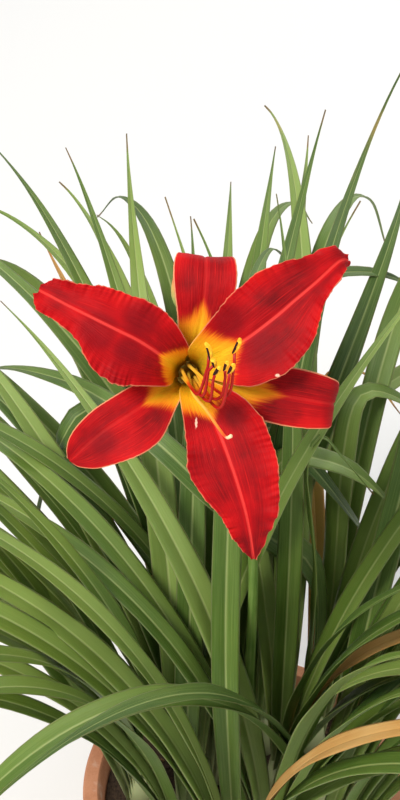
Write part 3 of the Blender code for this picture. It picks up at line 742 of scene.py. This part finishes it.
def tepal_relief(v, t, ruffle, seed):
    """How far a tepal's surface stands off its smooth form, in mm."""
    margin = smooth((t - 0.35) / 0.2)
    tip = smooth((t - 0.66) / 0.2)
    wave = math.sin(math.tau * RUFFLE_WAVES * t + (1.3 if v > 0 else 0.0))
    drift = 2.5 * noise.noise(Vector((t * 7, v, seed)))
    crimp = math.sin(math.tau * 15 * t + drift)
    strength = 0.5 + noise.noise(Vector((t * 5, math.copysign(5, v), seed + 9)))
    pleats = math.sin(math.tau * PLEATS * t + 1.8 * drift) * max(0.0, strength)
    rumple = noise.noise(Vector((v * 1.6, t * 5, seed)))
    lift = ruffle * margin * abs(v) ** 3 * (wave + (0.30 + 0.55 * tip) * crimp)
    lift += ruffle * margin * (0.42 * abs(v) ** 8 + 0.17 * smooth((abs(v) - 0.45) / 0.5)) * pleats
    lift += 1.3 * margin * rumple * (0.4 + abs(v))
    lift += 1.4 * ruffle * margin * (abs(v) - 0.45) * (1 - smooth((t - 0.72) / 0.25))
    return lift - 0.55 * math.exp(-((v / 0.07) ** 2)) * smooth((t - 0.25) / 0.15)


def stamen(name, points, *finishes):
    """A filament and its anther, whose dark slit is turned down and left under the heaped pollen."""
    bm = new_form()
    line = [at_flower(row) for row in even_rows(points[:4], 36)]
    low, high = Vector(points[4]), Vector(points[5])
    line.append(at_flower(low.lerp(high, 0.25)))
    radii = [FILAMENT_RADIUS * mix(1.45, 1.15, i / 37) for i in range(38)]
    rod(bm, line, radii, 12)
    rows = 22
    bulge = Vector((0.55, 0.25, 1.1)) * (0.16 * (high - low).length)
    spine = [
        at_flower(low.lerp(high, i / rows) + bulge * math.sin(math.pi * i / rows))
        for i in range(rows + 1)
    ]
    shares = [math.sin(math.pi * mix(0.07, 0.93, i / rows)) ** 0.5 for i in range(rows + 1)]
    made = rod(
        bm,
        spine,
        [ANTHER_RADIUS * share for share in shares],
        20,
        section=lambda turn, t: 1.0 - 0.25 * abs(math.sin(turn)) ** 6,
        slot=1,
    )
    underside = (at_flower(Vector((-1, -0.35, 0.1))) - at_flower(Vector())).normalized()
    layer = bm.verts.layers.float["along"]
    for vert in made:
        nearest = spine[round(vert[layer] * rows)]
        away = vert.co - nearest
        slit = underside.dot(away.normalized()) if away.length > 1e-6 else 0.0
        mark(bm, [vert], tone=slit - 1.1 * smooth((vert[layer] - 0.62) / 0.2))
    piece(f"fine_{name}", bm, [name], "stamen", *finishes)


def pistil(finish):
    bm = new_form()
    rows = PISTIL_ROWS
    line = [at_flower(row) for row in even_rows(PISTIL_POINTS, rows)]
    radii = [PISTIL_RADIUS * mix(1.3, 0.9, i / rows) for i in range(rows + 1)]
    for i in range(1, STIGMA_ROWS + 1):
        radii[rows - STIGMA_ROWS + i] = PISTIL_RADIUS * mix(0.9, STIGMA_SPREAD, i / STIGMA_ROWS)
    rod(bm, line, radii, 14)
    piece("fine_pistil", bm, ["pistil"], "style", finish)


def flower_base(finish):
    bm = new_form()
    rows = even_rows([(*point, radius) for point, radius in zip(BASE_PATH, BASE_RADII)], 40)
    points = [at_flower(row[:3]) for row in rows]
    rod(bm, points, [row[3] * MM for row in rows], 36, section=lambda turn, t: 1 - 0.05 * math.cos(6 * turn))
    ovary = [at_flower((0, 0, mix(-46, -34, i / 10))) for i in range(11)]
    rod(bm, ovary, [2.6 * MM * (1 - 0.65 * smooth((i / 10 - 0.6) / 0.4)) for i in range(11)], 24)
    throat_floor = at_flower((0, 0, TUBE_END - 1.5))
    facing = (at_flower((0, 0, 1)) - BLOOM).normalized()
    mark(bm, bm.verts[:], tone=lambda vert: float((vert.co - throat_floor).dot(facing) > 0))
    piece("fine_flower_base", bm, ["flower_base"], "stalk", finish)


def bud(name, foot, tip, radius, finish):
    bm = new_form()
    rows = BUD_ROWS
    foot, tip = at_flower(foot), at_flower(tip)
    shares = [spline([(share,) for share in BUD_PROFILE], i / rows)[0] for i in range(rows + 1)]
    points = [foot.lerp(tip, i / rows) for i in range(rows + 1)]

    def seams(turn, t):
        return 1 - 0.10 * smooth((t - 0.3) / 0.2) * (0.5 + 0.5 * math.cos(3 * turn)) ** 6

    rod(bm, points, [radius * MM * share for share in shares], 42, section=seams)
    piece(f"fine_{name}", bm, [name], "bud", finish)


def scape(finish):
    """The flower stalk, its short branches to the bloom and buds, and the bracts at their feet."""
    bm = new_form()
    line = [Vector(row) for row in even_rows([tuple(p) for p in SCAPE_POINTS], SCAPE_ROWS)]
    radii = [SCAPE_RADIUS * mix(1.0, 0.72, i / SCAPE_ROWS) for i in range(SCAPE_ROWS + 1)]
    rod(bm, line, radii, 28)
    top = line[-1]
    for foot, tip in ((BASE_PATH[0], BASE_PATH[1]), *((foot, tip) for foot, tip, _ in BUDS.values())):
        foot, tip = at_flower(foot), at_flower(tip)
        along = (tip - foot).normalized()
        path = [line[-6], top, foot - along * 4 * MM, foot]
        rows = even_rows([(*p, r) for p, r in zip(path, BRANCH_RADII)], BRANCH_ROWS)
        rod(bm, [Vector(row[:3]) for row in rows], [row[3] * MM for row in rows], 20)
    for share, turn in BRACTS:
        foot = Vector(spline([tuple(p) for p in SCAPE_POINTS], share))
        lean = Vector((math.cos(turn), math.sin(turn), 1.6)).normalized()
        points = [foot + lean * BRACT_LENGTH * i / BRACT_ROWS for i in range(BRACT_ROWS + 1)]
        profile = [(share,) for share in BRACT_PROFILE]
        shares = [spline(profile, i / BRACT_ROWS)[0] for i in range(BRACT_ROWS + 1)]
        rod(bm, points, [3.0 * MM * share for share in shares], 24)
    piece("fine_scape", bm, ["scape"], "stalk", finish)


# Pot and soil

def pot(finish):
    top, base = POT_TOP_RADIUS, POT_BASE_RADIUS
    rim_foot = POT_HEIGHT - RIM_HEIGHT

    def outer(z):
        return mix(base, top, z / POT_HEIGHT)

    edge = 0.0015
    corners = (
        (0, POT_FLOOR),
        (outer(POT_FLOOR) - POT_WALL, POT_FLOOR),
        (top - POT_WALL, POT_HEIGHT - edge),
        (top - POT_WALL + edge, POT_HEIGHT),
        (top + RIM_PROUD - edge, POT_HEIGHT),
        (top + RIM_PROUD, POT_HEIGHT - edge),
        (outer(rim_foot) + RIM_PROUD + 0.001, rim_foot + edge),
        (outer(rim_foot) + RIM_PROUD - 0.001, rim_foot),
        (outer(rim_foot), rim_foot - 0.002),
        (outer(edge), edge),
        (base - edge, 0),
        (0, 0),
    )
    bm = new_form()
    spun(bm, corners, POT_SIDES)
    obj = piece("fine_pot", bm, ["pot"], "clay", finish)
    bm = new_form()
    for i in range(DRAIN_HOLES):
        angle = math.tau * i / DRAIN_HOLES + 0.3
        x, y = DRAIN_CIRCLE * math.cos(angle), DRAIN_CIRCLE * math.sin(angle)
        bmesh.ops.create_cone(
            bm,
            cap_ends=True,
            segments=32,
            radius1=DRAIN_RADIUS,
            radius2=DRAIN_RADIUS,
            depth=0.03,
            matrix=Matrix.Translation((x, y, POT_FLOOR / 2)),
        )
    cut_out(obj, bm)
    obj.data.set_sharp_from_angle(angle=math.radians(40))
    rounded = obj.modifiers.new("worn_edges", "BEVEL")
    rounded.width = 0.0006
    rounded.segments = 2
    rounded.limit_method = "ANGLE"
    rounded.angle_limit = math.radians(35)


def cut_out(obj, bm):
    """Takes the cutter's shape out of the piece for good."""
    cutter = add_form("cutter", bm)
    boolean = obj.modifiers.new("cut", "BOOLEAN")
    boolean.operation = "DIFFERENCE"
    boolean.object = cutter
    bpy.context.view_layer.update()
    graph = bpy.context.evaluated_depsgraph_get()
    made = bpy.data.meshes.new_from_object(obj.evaluated_get(graph))
    obj.modifiers.remove(boolean)
    obj.data = made
    bpy.data.objects.remove(cutter)


def soil_lift(x, y):
    """The height of the soil's crumbly top over its mean, at a place in metres."""
    broad = noise.noise(Vector((x, y, 0.15)) * 45 + Vector((3, 1, 7)))
    crumbs = noise.fractal(Vector((x, y, 0)) * 260, 1.0, 2.0, 3)
    return 0.0024 * broad + 0.0011 * crumbs


def soil(finish):
    """The potting mix with its crumbly top, and loose bark chips on it."""
    top_radius = mix(POT_BASE_RADIUS, POT_TOP_RADIUS, SOIL_TOP / POT_HEIGHT) - POT_WALL - 0.001
    low_radius = mix(POT_BASE_RADIUS, POT_TOP_RADIUS, POT_FLOOR / POT_HEIGHT) - POT_WALL - 0.001
    rings = 70
    profile = [(top_radius * i / rings, SOIL_TOP) for i in range(rings + 1)]
    profile += [(low_radius, POT_FLOOR + 0.0004), (0, POT_FLOOR + 0.0004)]
    bm = new_form()
    spun(bm, profile, 180)
    for vert in bm.verts:
        if vert.co.z > SOIL_TOP - 0.001:
            vert.co.z += soil_lift(vert.co.x, vert.co.y)
    mark(bm, bm.verts[:], tone=0.35)
    draw = random.Random(61)
    for _ in range(CHIPS):
        radius = (top_radius - 0.004) * math.sqrt(draw.random())
        turn = draw.uniform(0, math.tau)
        x, y = radius * math.cos(turn), radius * math.sin(turn)
        size = draw.uniform(0.0012, 0.0042)
        long, thick = size * draw.uniform(0.8, 1.5), size * draw.uniform(0.25, 0.5)
        stretch = Matrix.Diagonal((long, size * 0.7, thick, 1))
        spin = Matrix.Rotation(draw.uniform(0, math.tau), 4, "Z")
        spin = spin @ Matrix.Rotation(draw.gauss(0, 0.3), 4, "X")
        place = Matrix.Translation((x, y, SOIL_TOP + soil_lift(x, y) + size * 0.15))
        whole = place @ spin @ stretch
        chip = bmesh.ops.create_icosphere(bm, subdivisions=1, radius=1, matrix=whole)["verts"]
        for vert in chip:
            vert.co += noise.noise_vector(vert.co * 400) * size * 0.25
        mark(bm, chip, tone=0.0 if draw.random() < 0.4 else draw.uniform(0.4, 1.0))
    piece("fine_soil", bm, ["soil"], "earth", finish)


# Finishes

class Value:
    """A shader socket that Python's operators work on, each as a Math node."""

    def __init__(self, finish, socket):
        self.finish = finish
        self.socket = socket

    def maths(self, operation, *others):
        node = self.finish.tree.nodes.new("ShaderNodeMath")
        node.operation = operation
        for place, item in zip(node.inputs, (self, *others)):
            self.finish.plug(place, item)
        return Value(self.finish, node.outputs[0])

    def __add__(self, other):
        return self.maths("ADD", other)

    def __sub__(self, other):
        return self.maths("SUBTRACT", other)

    def __mul__(self, other):
        return self.maths("MULTIPLY", other)

    def __truediv__(self, other):
        return self.maths("DIVIDE", other)

    def __pow__(self, other):
        return self.maths("POWER", other)

    def __neg__(self):
        return self * -1

    def __rsub__(self, other):
        return -self + other

    def __abs__(self):
        return self.maths("ABSOLUTE")

    __radd__ = __add__
    __rmul__ = __mul__

    def rising(self, low, high):
        """0 below low, 1 above high, smooth between. Falling if low is the greater."""
        inputs = {"Value": self, "From Min": low, "From Max": high}
        return self.finish.node("ShaderNodeMapRange", inputs, interpolation_type="SMOOTHSTEP")


class Finish:
    """One node material round its Principled shader."""

    def __init__(self, name, **sockets):
        self.material = bpy.data.materials.new(name)
        self.material.use_nodes = True
        self.tree = self.material.node_tree
        self.shader = self.tree.nodes["Principled BSDF"]
        for socket, value in sockets.items():
            self.shader.inputs[socket.replace("_", " ")].default_value = value
        self.place = self.node("ShaderNodeTexCoord", out="Object")

    def plug(self, place, item):
        if isinstance(item, Value):
            self.tree.links.new(item.socket, place)
        else:
            place.default_value = item

    def node(self, kind, inputs=None, out=0, **settings):
        node = self.tree.nodes.new(kind)
        for setting, value in settings.items():
            setattr(node, setting, value)
        for socket, item in (inputs or {}).items():
            self.plug(node.inputs[socket], item)
        return Value(self, node.outputs[out])

    def number(self, name):
        return self.node("ShaderNodeAttribute", out="Fac", attribute_name=name)

    def vector(self, x, y, z):
        return self.node("ShaderNodeCombineXYZ", {"X": x, "Y": y, "Z": z})

    def noise(self, scale, detail=2.0, rough=0.5, at=None):
        inputs = {"Vector": at or self.place, "Scale": scale, "Detail": detail, "Roughness": rough}
        return self.node("ShaderNodeTexNoise", inputs)

    def ramp(self, factor, *stops):
        node = self.tree.nodes.new("ShaderNodeValToRGB")
        self.plug(node.inputs["Fac"], factor)
        elements = node.color_ramp.elements
        for i, (spot, color) in enumerate(stops):
            element = elements[i] if i < 2 else elements.new(spot)
            element.position = spot
            element.color = (*color, 1)
        return Value(self, node.outputs["Color"])

    def blend(self, factor, first, second):
        node = self.tree.nodes.new("ShaderNodeMix")
        node.data_type = "RGBA"
        for place, item in ((node.inputs[0], factor), (node.inputs[6], first), (node.inputs[7], second)):
            self.plug(place, (*item, 1) if isinstance(item, tuple) else item)
        return Value(self, node.outputs[2])

    def color(self, item):
        self.plug(self.shader.inputs["Base Color"], item)

    def rough(self, item):
        self.plug(self.shader.inputs["Roughness"], item)

    def bump(self, height, depth):
        node = self.node("ShaderNodeBump", {"Height": height, "Distance": depth}, out="Normal")
        self.plug(self.shader.inputs["Normal"], node)


def leaf_finish():
    """Strap leaves: parallel veins, a paler midrib and margins, painted light and shade on the two halves of
    the fold, and straw to brown where withered.
    """
    leaf = Finish("leaf", Specular_IOR_Level=0.45, Subsurface_Weight=0.06, Subsurface_Scale=0.002)
    across, along = leaf.number("across"), leaf.number("along")
    tone, dry = leaf.number("tone"), leaf.number("dry")
    lines = leaf.vector(across * 9, along * 2.2, tone * 31)
    veins = leaf.noise(4.2, 3.0, 0.6, lines)
    patches = leaf.noise(14.0, 3.0, 0.55)
    green = leaf.ramp(
        tone + (patches - 0.5) * 0.7,
        (0.0, (0.028, 0.072, 0.005)),
        (1.0, (0.220, 0.310, 0.060)),
        (0.35, (0.070, 0.140, 0.010)),
        (0.7, (0.135, 0.215, 0.026)),
    )
    green = leaf.blend(veins.rising(0.42, 0.68) * 0.35, green, (0.27, 0.36, 0.09))
    yellowing = leaf.noise(5.0, 2.0).rising(0.50, 0.68)
    green = leaf.blend(yellowing * 0.45, green, (0.20, 0.27, 0.012))
    # Painted light on one half of each folded blade, scaled by its tone, and painted shade on the other half,
    # as if light fell on one side of the fold
    half = across.rising(-0.08, 0.08)
    green = leaf.blend(half * tone * 0.45, green, (0.25, 0.34, 0.09))
    green = leaf.blend((1.0 - half) * 0.22, green, (0.020, 0.055, 0.004))
    midrib = abs(across).rising(0.13, 0.02)
    green = leaf.blend(midrib * 0.5, green, (0.42, 0.48, 0.18))
    margin = abs(across).rising(0.88, 0.99)
    green = leaf.blend(margin * 0.5, green, (0.42, 0.45, 0.20))
    base = along.rising(0.14, 0.0)
    green = leaf.blend(base * 0.8, green, (0.44, 0.47, 0.24))
    straw = leaf.ramp(
        veins * 0.6 + patches * 0.5,
        (0.2, (0.20, 0.075, 0.018)),
        (0.8, (0.66, 0.42, 0.16)),
        (0.5, (0.50, 0.25, 0.060)),
    )
    withered = dry * 1.5 + along.rising(0.55, 1.0) * (0.35 + dry) + (patches - 0.5) * 0.9
    withered = (withered + (veins - 0.5) * 0.3 - 0.62).rising(0.0, 0.22)
    shade = leaf.blend(withered, green, straw)
    tip = (along + (patches - 0.5) * 0.12).rising(0.965, 0.99)
    shade = leaf.blend(tip * 0.8, shade, (0.20, 0.10, 0.035))
    leaf.color(shade)
    leaf.rough(0.42 + patches * 0.14 + withered * 0.22)
    leaf.bump(veins * 0.7 + leaf.noise(900, 2.0) * 0.15 - midrib * 0.8, 0.0003)
    return leaf.material


def tepal_finish(name, margin_width, vein_light, ridge_light):
    """Velvety scarlet: amber throat, paler midrib, fine veins, crimson clouds and a thin pale margin, with
    painted shade in the middle of each half, in the groove beside the midrib and in some of the crimson
    patches.
    """
    tepal = Finish(name, Specular_IOR_Level=0.14, Subsurface_Weight=0.06, Subsurface_Scale=0.0015)
    across, along, reach = tepal.number("across"), tepal.number("along"), tepal.number("reach")
    rim, rib = tepal.number("rim"), tepal.number("rib")
    lines = tepal.vector(across * 10, along * 1.4, 0.0)
    veins = tepal.noise(3.4, 3.0, 0.6, lines)
    clouds = tepal.noise(38, 3.0, 0.6)
    # Painted shade: the middle of each half of a tepal is darkened, where the fold turns it away from the
    # light
    middle = 1.0 - abs(abs(across) * 2.2 - 0.9)
    red = tepal.ramp(
        clouds * 0.8 + veins * 0.30 - middle * 0.10,
        (0.28, (0.13, 0.0002, 0.002)),
        (0.72, (0.62, 0.006, 0.005)),
        (0.46, (0.32, 0.0005, 0.003)),
        (0.58, (0.46, 0.0015, 0.004)),
    )
    red = tepal.blend(veins.rising(0.52, 0.74) * vein_light, red, (0.68, 0.014, 0.009))
    # Dark crimson patches: partly real blotches, partly painted shade where the tepals fold
    crimson_and_fold_shade = (tepal.number("crimson_and_fold_shade") + (clouds - 0.5) * 1.4 + (veins - 0.5) * 0.9 - 0.12).rising(0.0, 0.75)
    red = tepal.blend(crimson_and_fold_shade * 0.62, red, (0.15, 0.0004, 0.004))
    ridge = rib.rising(1.35 + along * -0.5, 0.3) * along.rising(0.26, 0.40)
    red = tepal.blend(ridge * ridge_light, red, (0.78, 0.050, 0.040))
    # Painted shade in the groove just beside the midrib, on one side only
    painted_groove_shade = rib.rising(1.2, 2.2) * rib.rising(5.0, 2.2) * across.rising(0.05, -0.05)
    red = tepal.blend(painted_groove_shade * 0.35, red, (0.16, 0.0005, 0.004))
    wander = reach + (veins - 0.5) * 0.42 - (1.0 - abs(across)) ** 3 * 0.38
    throat = tepal.ramp(
        wander / 1.25,
        (0.16, (0.58, 0.38, 0.012)),
        (0.92, (0.68, 0.035, 0.004)),
        (0.30, (0.66, 0.37, 0.008)),
        (0.46, (0.80, 0.41, 0.010)),
        (0.64, (0.84, 0.30, 0.008)),
        (0.80, (0.82, 0.13, 0.006)),
    )
    shade = tepal.blend(wander.rising(0.82, 1.08), throat, red)
    edge = (rim + (clouds - 0.5) * margin_width).rising(margin_width, margin_width * 0.4)
    edge_light = 0.25 + ridge_light * -0.1 + margin_width * 0.7
    shade = tepal.blend(edge * along.rising(0.22, 0.30) * edge_light, shade, (0.90, 0.40, 0.20))
    shade = tepal.blend(tepal.number("nick").rising(0.0, 0.3), shade, (0.88, 0.52, 0.38))
    tepal.color(shade)
    tepal.rough(0.55 + clouds * 0.12)
    cells = tepal.noise(1500, 2.0)
    tepal.bump(veins * 0.8 + cells * 0.25 + clouds * 0.4, 0.00045)
    return tepal.material


def filament_finish():
    filament = Finish("filament", Roughness=0.42, Specular_IOR_Level=0.3)
    along = filament.number("along") + (filament.noise(300) - 0.5) * 0.08
    shade = filament.ramp(
        along,
        (0.10, (0.80, 0.50, 0.05)),
        (0.60, (0.40, 0.005, 0.002)),
        (0.34, (0.92, 0.42, 0.02)),
        (0.45, (0.72, 0.08, 0.006)),
    )
    filament.color(shade)
    return filament.material


def anther_finish():
    """Heaped yellow pollen, with the anther's own near-black brown in the slit below it."""
    anther = Finish("anther", Specular_IOR_Level=0.2)
    grain = anther.noise(2600, 2.0)
    heap = anther.noise(700, 2.0)
    pollen = anther.ramp(heap, (0.35, (0.85, 0.34, 0.010)), (0.65, (1.0, 0.60, 0.045)))
    slit = (anther.number("tone") + (heap - 0.5) * 0.7).rising(0.22, 0.42)
    anther.color(anther.blend(slit, pollen, (0.030, 0.007, 0.006)))
    anther.rough(0.75 + grain * 0.2)
    anther.bump(heap * 0.7 + grain * 0.4, 0.0004)
    return anther.material


def style_finish():
    style = Finish("style", Roughness=0.4, Specular_IOR_Level=0.3)
    along = style.number("along") + (style.noise(260) - 0.5) * 0.04
    style.color(
        style.ramp(
            along,
            (0.30, (0.72, 0.56, 0.06)),
            (0.97, (0.95, 0.66, 0.38)),
            (0.60, (0.95, 0.48, 0.08)),
            (0.86, (0.86, 0.17, 0.025)),
            (0.93, (0.80, 0.08, 0.02)),
        )
    )
    return style.material


def stalk_finish():
    """Green stalk with fine lengthwise streaks, amber inside the throat."""
    stalk = Finish("stalk", Specular_IOR_Level=0.4, Subsurface_Weight=0.05, Subsurface_Scale=0.002)
    stretched = stalk.node("ShaderNodeMapping", {"Vector": stalk.place, "Scale": (700, 700, 25)})
    streaks = stalk.noise(1.0, 3.0, 0.6, stretched)
    bloom = stalk.noise(40, 2.0)
    green = stalk.ramp(
        streaks * 0.6 + bloom * 0.4,
        (0.3, (0.090, 0.180, 0.025)),
        (0.7, (0.27, 0.37, 0.10)),
        (0.5, (0.170, 0.280, 0.055)),
    )
    stalk.color(stalk.blend(stalk.number("tone"), green, (0.55, 0.34, 0.02)))
    stalk.rough(0.42 + bloom * 0.15)
    stalk.bump(streaks, 0.0002)
    return stalk.material


def bud_finish():
    bud = Finish("bud", Specular_IOR_Level=0.4, Subsurface_Weight=0.05, Subsurface_Scale=0.002)
    along = bud.number("along") + (bud.noise(70) - 0.5) * 0.35
    streaks = bud.noise(320, 3.0)
    shade = bud.ramp(
        along,
        (0.2, (0.17, 0.27, 0.07)),
        (0.95, (0.62, 0.13, 0.045)),
        (0.55, (0.40, 0.42, 0.12)),
        (0.8, (0.66, 0.36, 0.10)),
    )
    bud.color(bud.blend(streaks.rising(0.5, 0.7) * 0.3, shade, (0.75, 0.5, 0.2)))
    bud.rough(0.45 + streaks * 0.1)
    bud.bump(streaks, 0.0002)
    return bud.material


def clay_finish():
    """Unglazed clay: mottled orange brown, turning lines, pale salts in patches and most of all low down."""
    clay = Finish("clay", Specular_IOR_Level=0.25)
    mottle = clay.noise(22, 5.0, 0.6)
    grain = clay.noise(700, 3.0, 0.7)
    height = clay.node("ShaderNodeSeparateXYZ", {"Vector": clay.place}, out="Z")
    lines = clay.noise(1.0, 2.0, 0.5, clay.vector(0.0, 0.0, height * 900))
    shade = clay.ramp(
        mottle * 0.75 + grain * 0.25,
        (0.30, (0.36, 0.135, 0.065)),
        (0.72, (0.62, 0.31, 0.185)),
        (0.5, (0.50, 0.215, 0.115)),
    )
    salts = (clay.noise(38, 5.0, 0.65) + height.rising(0.05, 0.0) * 0.18).rising(0.56, 0.74)
    shade = clay.blend(salts * 0.55, shade, (0.72, 0.62, 0.52))
    damp = (height + (mottle - 0.5) * 0.03).rising(0.035, 0.012)
    shade = clay.blend(damp * 0.45, shade, (0.22, 0.085, 0.045))
    clay.color(shade)
    clay.rough(0.82 + grain * 0.12)
    clay.bump(lines * 0.35 + grain * 0.5 + mottle * 0.3, 0.0004)
    return clay.material


def earth_finish():
    earth = Finish("earth", Specular_IOR_Level=0.2)
    crumbs = earth.noise(420, 5.0, 0.7)
    tone = earth.number("tone")
    dark = earth.ramp(crumbs, (0.3, (0.012, 0.008, 0.005)), (0.7, (0.075, 0.046, 0.028)))
    bark = earth.ramp(crumbs, (0.3, (0.055, 0.026, 0.013)), (0.7, (0.24, 0.135, 0.070)))
    earth.color(earth.blend((tone + (crumbs - 0.5) * 0.5).rising(0.45, 0.75), dark, bark))
    earth.rough(0.88 + crumbs * 0.1)
    earth.bump(crumbs, 0.0015)
    return earth.material


def floor_finish():
    floor = Finish("floor", Specular_IOR_Level=0.2)
    floor.color(floor.blend(floor.noise(3.0) * 0.1, (0.76, 0.755, 0.74), (0.68, 0.67, 0.655)))
    floor.rough(0.8 + floor.noise(12.0) * 0.1)
    return floor.material


# Camera and light

CAMERA_LENS = 76.6
CAMERA_SENSOR = 36
CAMERA_PLACE = (-0.0294, -0.625, 1.1564)
CAMERA_TILT = math.radians(45)


def camera():
    """The photograph's view: from in front of the bloom and 45 degrees above it."""
    data = bpy.data.cameras.new("camera")
    data.lens = CAMERA_LENS
    data.sensor_width = CAMERA_SENSOR
    obj = add("camera", data)
    obj.location = CAMERA_PLACE
    obj.rotation_euler = (CAMERA_TILT, 0, 0)
    bpy.context.scene.camera = obj


def lamp(name, place, target, size, power, color):
    data = bpy.data.lights.new(name, "AREA")
    data.shape = "DISK"
    data.size = size
    data.energy = power
    data.color = color
    obj = add(name, data)
    obj.location = place
    obj.rotation_euler = (Vector(target) - Vector(place)).to_track_quat("-Z", "Y").to_euler()


def lights():
    world = bpy.data.worlds.new("studio")
    world.use_nodes = True
    background = world.node_tree.nodes["Background"]
    background.inputs["Color"].default_value = (0.93, 0.96, 1.0, 1)
    background.inputs["Strength"].default_value = 0.55
    bpy.context.scene.world = world
    lamp("key", (-1.1, -0.9, 2.4), (0, 0, 0.4), 0.9, 62, (1.0, 0.97, 0.92))
    lamp("fill", (1.8, -1.4, 1.4), (0, 0, 0.35), 1.6, 16, (0.95, 0.97, 1.0))
    lamp("rim", (0.6, 2.0, 1.6), (0, 0, 0.35), 1.2, 22, (1.0, 0.98, 0.95))


def floor(finish):
    bm = new_form()
    bmesh.ops.create_grid(bm, x_segments=1, y_segments=1, size=6)
    obj = add_form("floor", bm)
    obj.data.materials.append(finish)


def main():
    bpy.context.scene.view_settings.view_transform = "Standard"
    camera()
    lights()
    floor(floor_finish())
    fans(leaf_finish())
    petal_red = tepal_finish("petal", 0.30, 0.28, 0.75)
    sepal_red = tepal_finish("sepal", 0.65, 0.48, 0.15)
    for name, rows in PETALS.items():
        tepal(name, PETAL_TUBE, rows, PETAL_GRID, RUFFLE_DEPTH, "petal", petal_red)
    for name, rows in SEPALS.items():
        tepal(name, SEPAL_TUBE, rows, SEPAL_GRID, 0.0, "sepal", sepal_red)
    filament, anther = filament_finish(), anther_finish()
    for number, points in enumerate(STAMENS, 1):
        stamen(f"stamen_{number}", points, filament, anther)
    pistil(style_finish())
    green = stalk_finish()
    flower_base(green)
    scape(green)
    bud_green = bud_finish()
    for name, (foot, tip, radius) in BUDS.items():
        bud(name, foot, tip, radius, bud_green)
    soil(earth_finish())
    pot(clay_finish())


main()
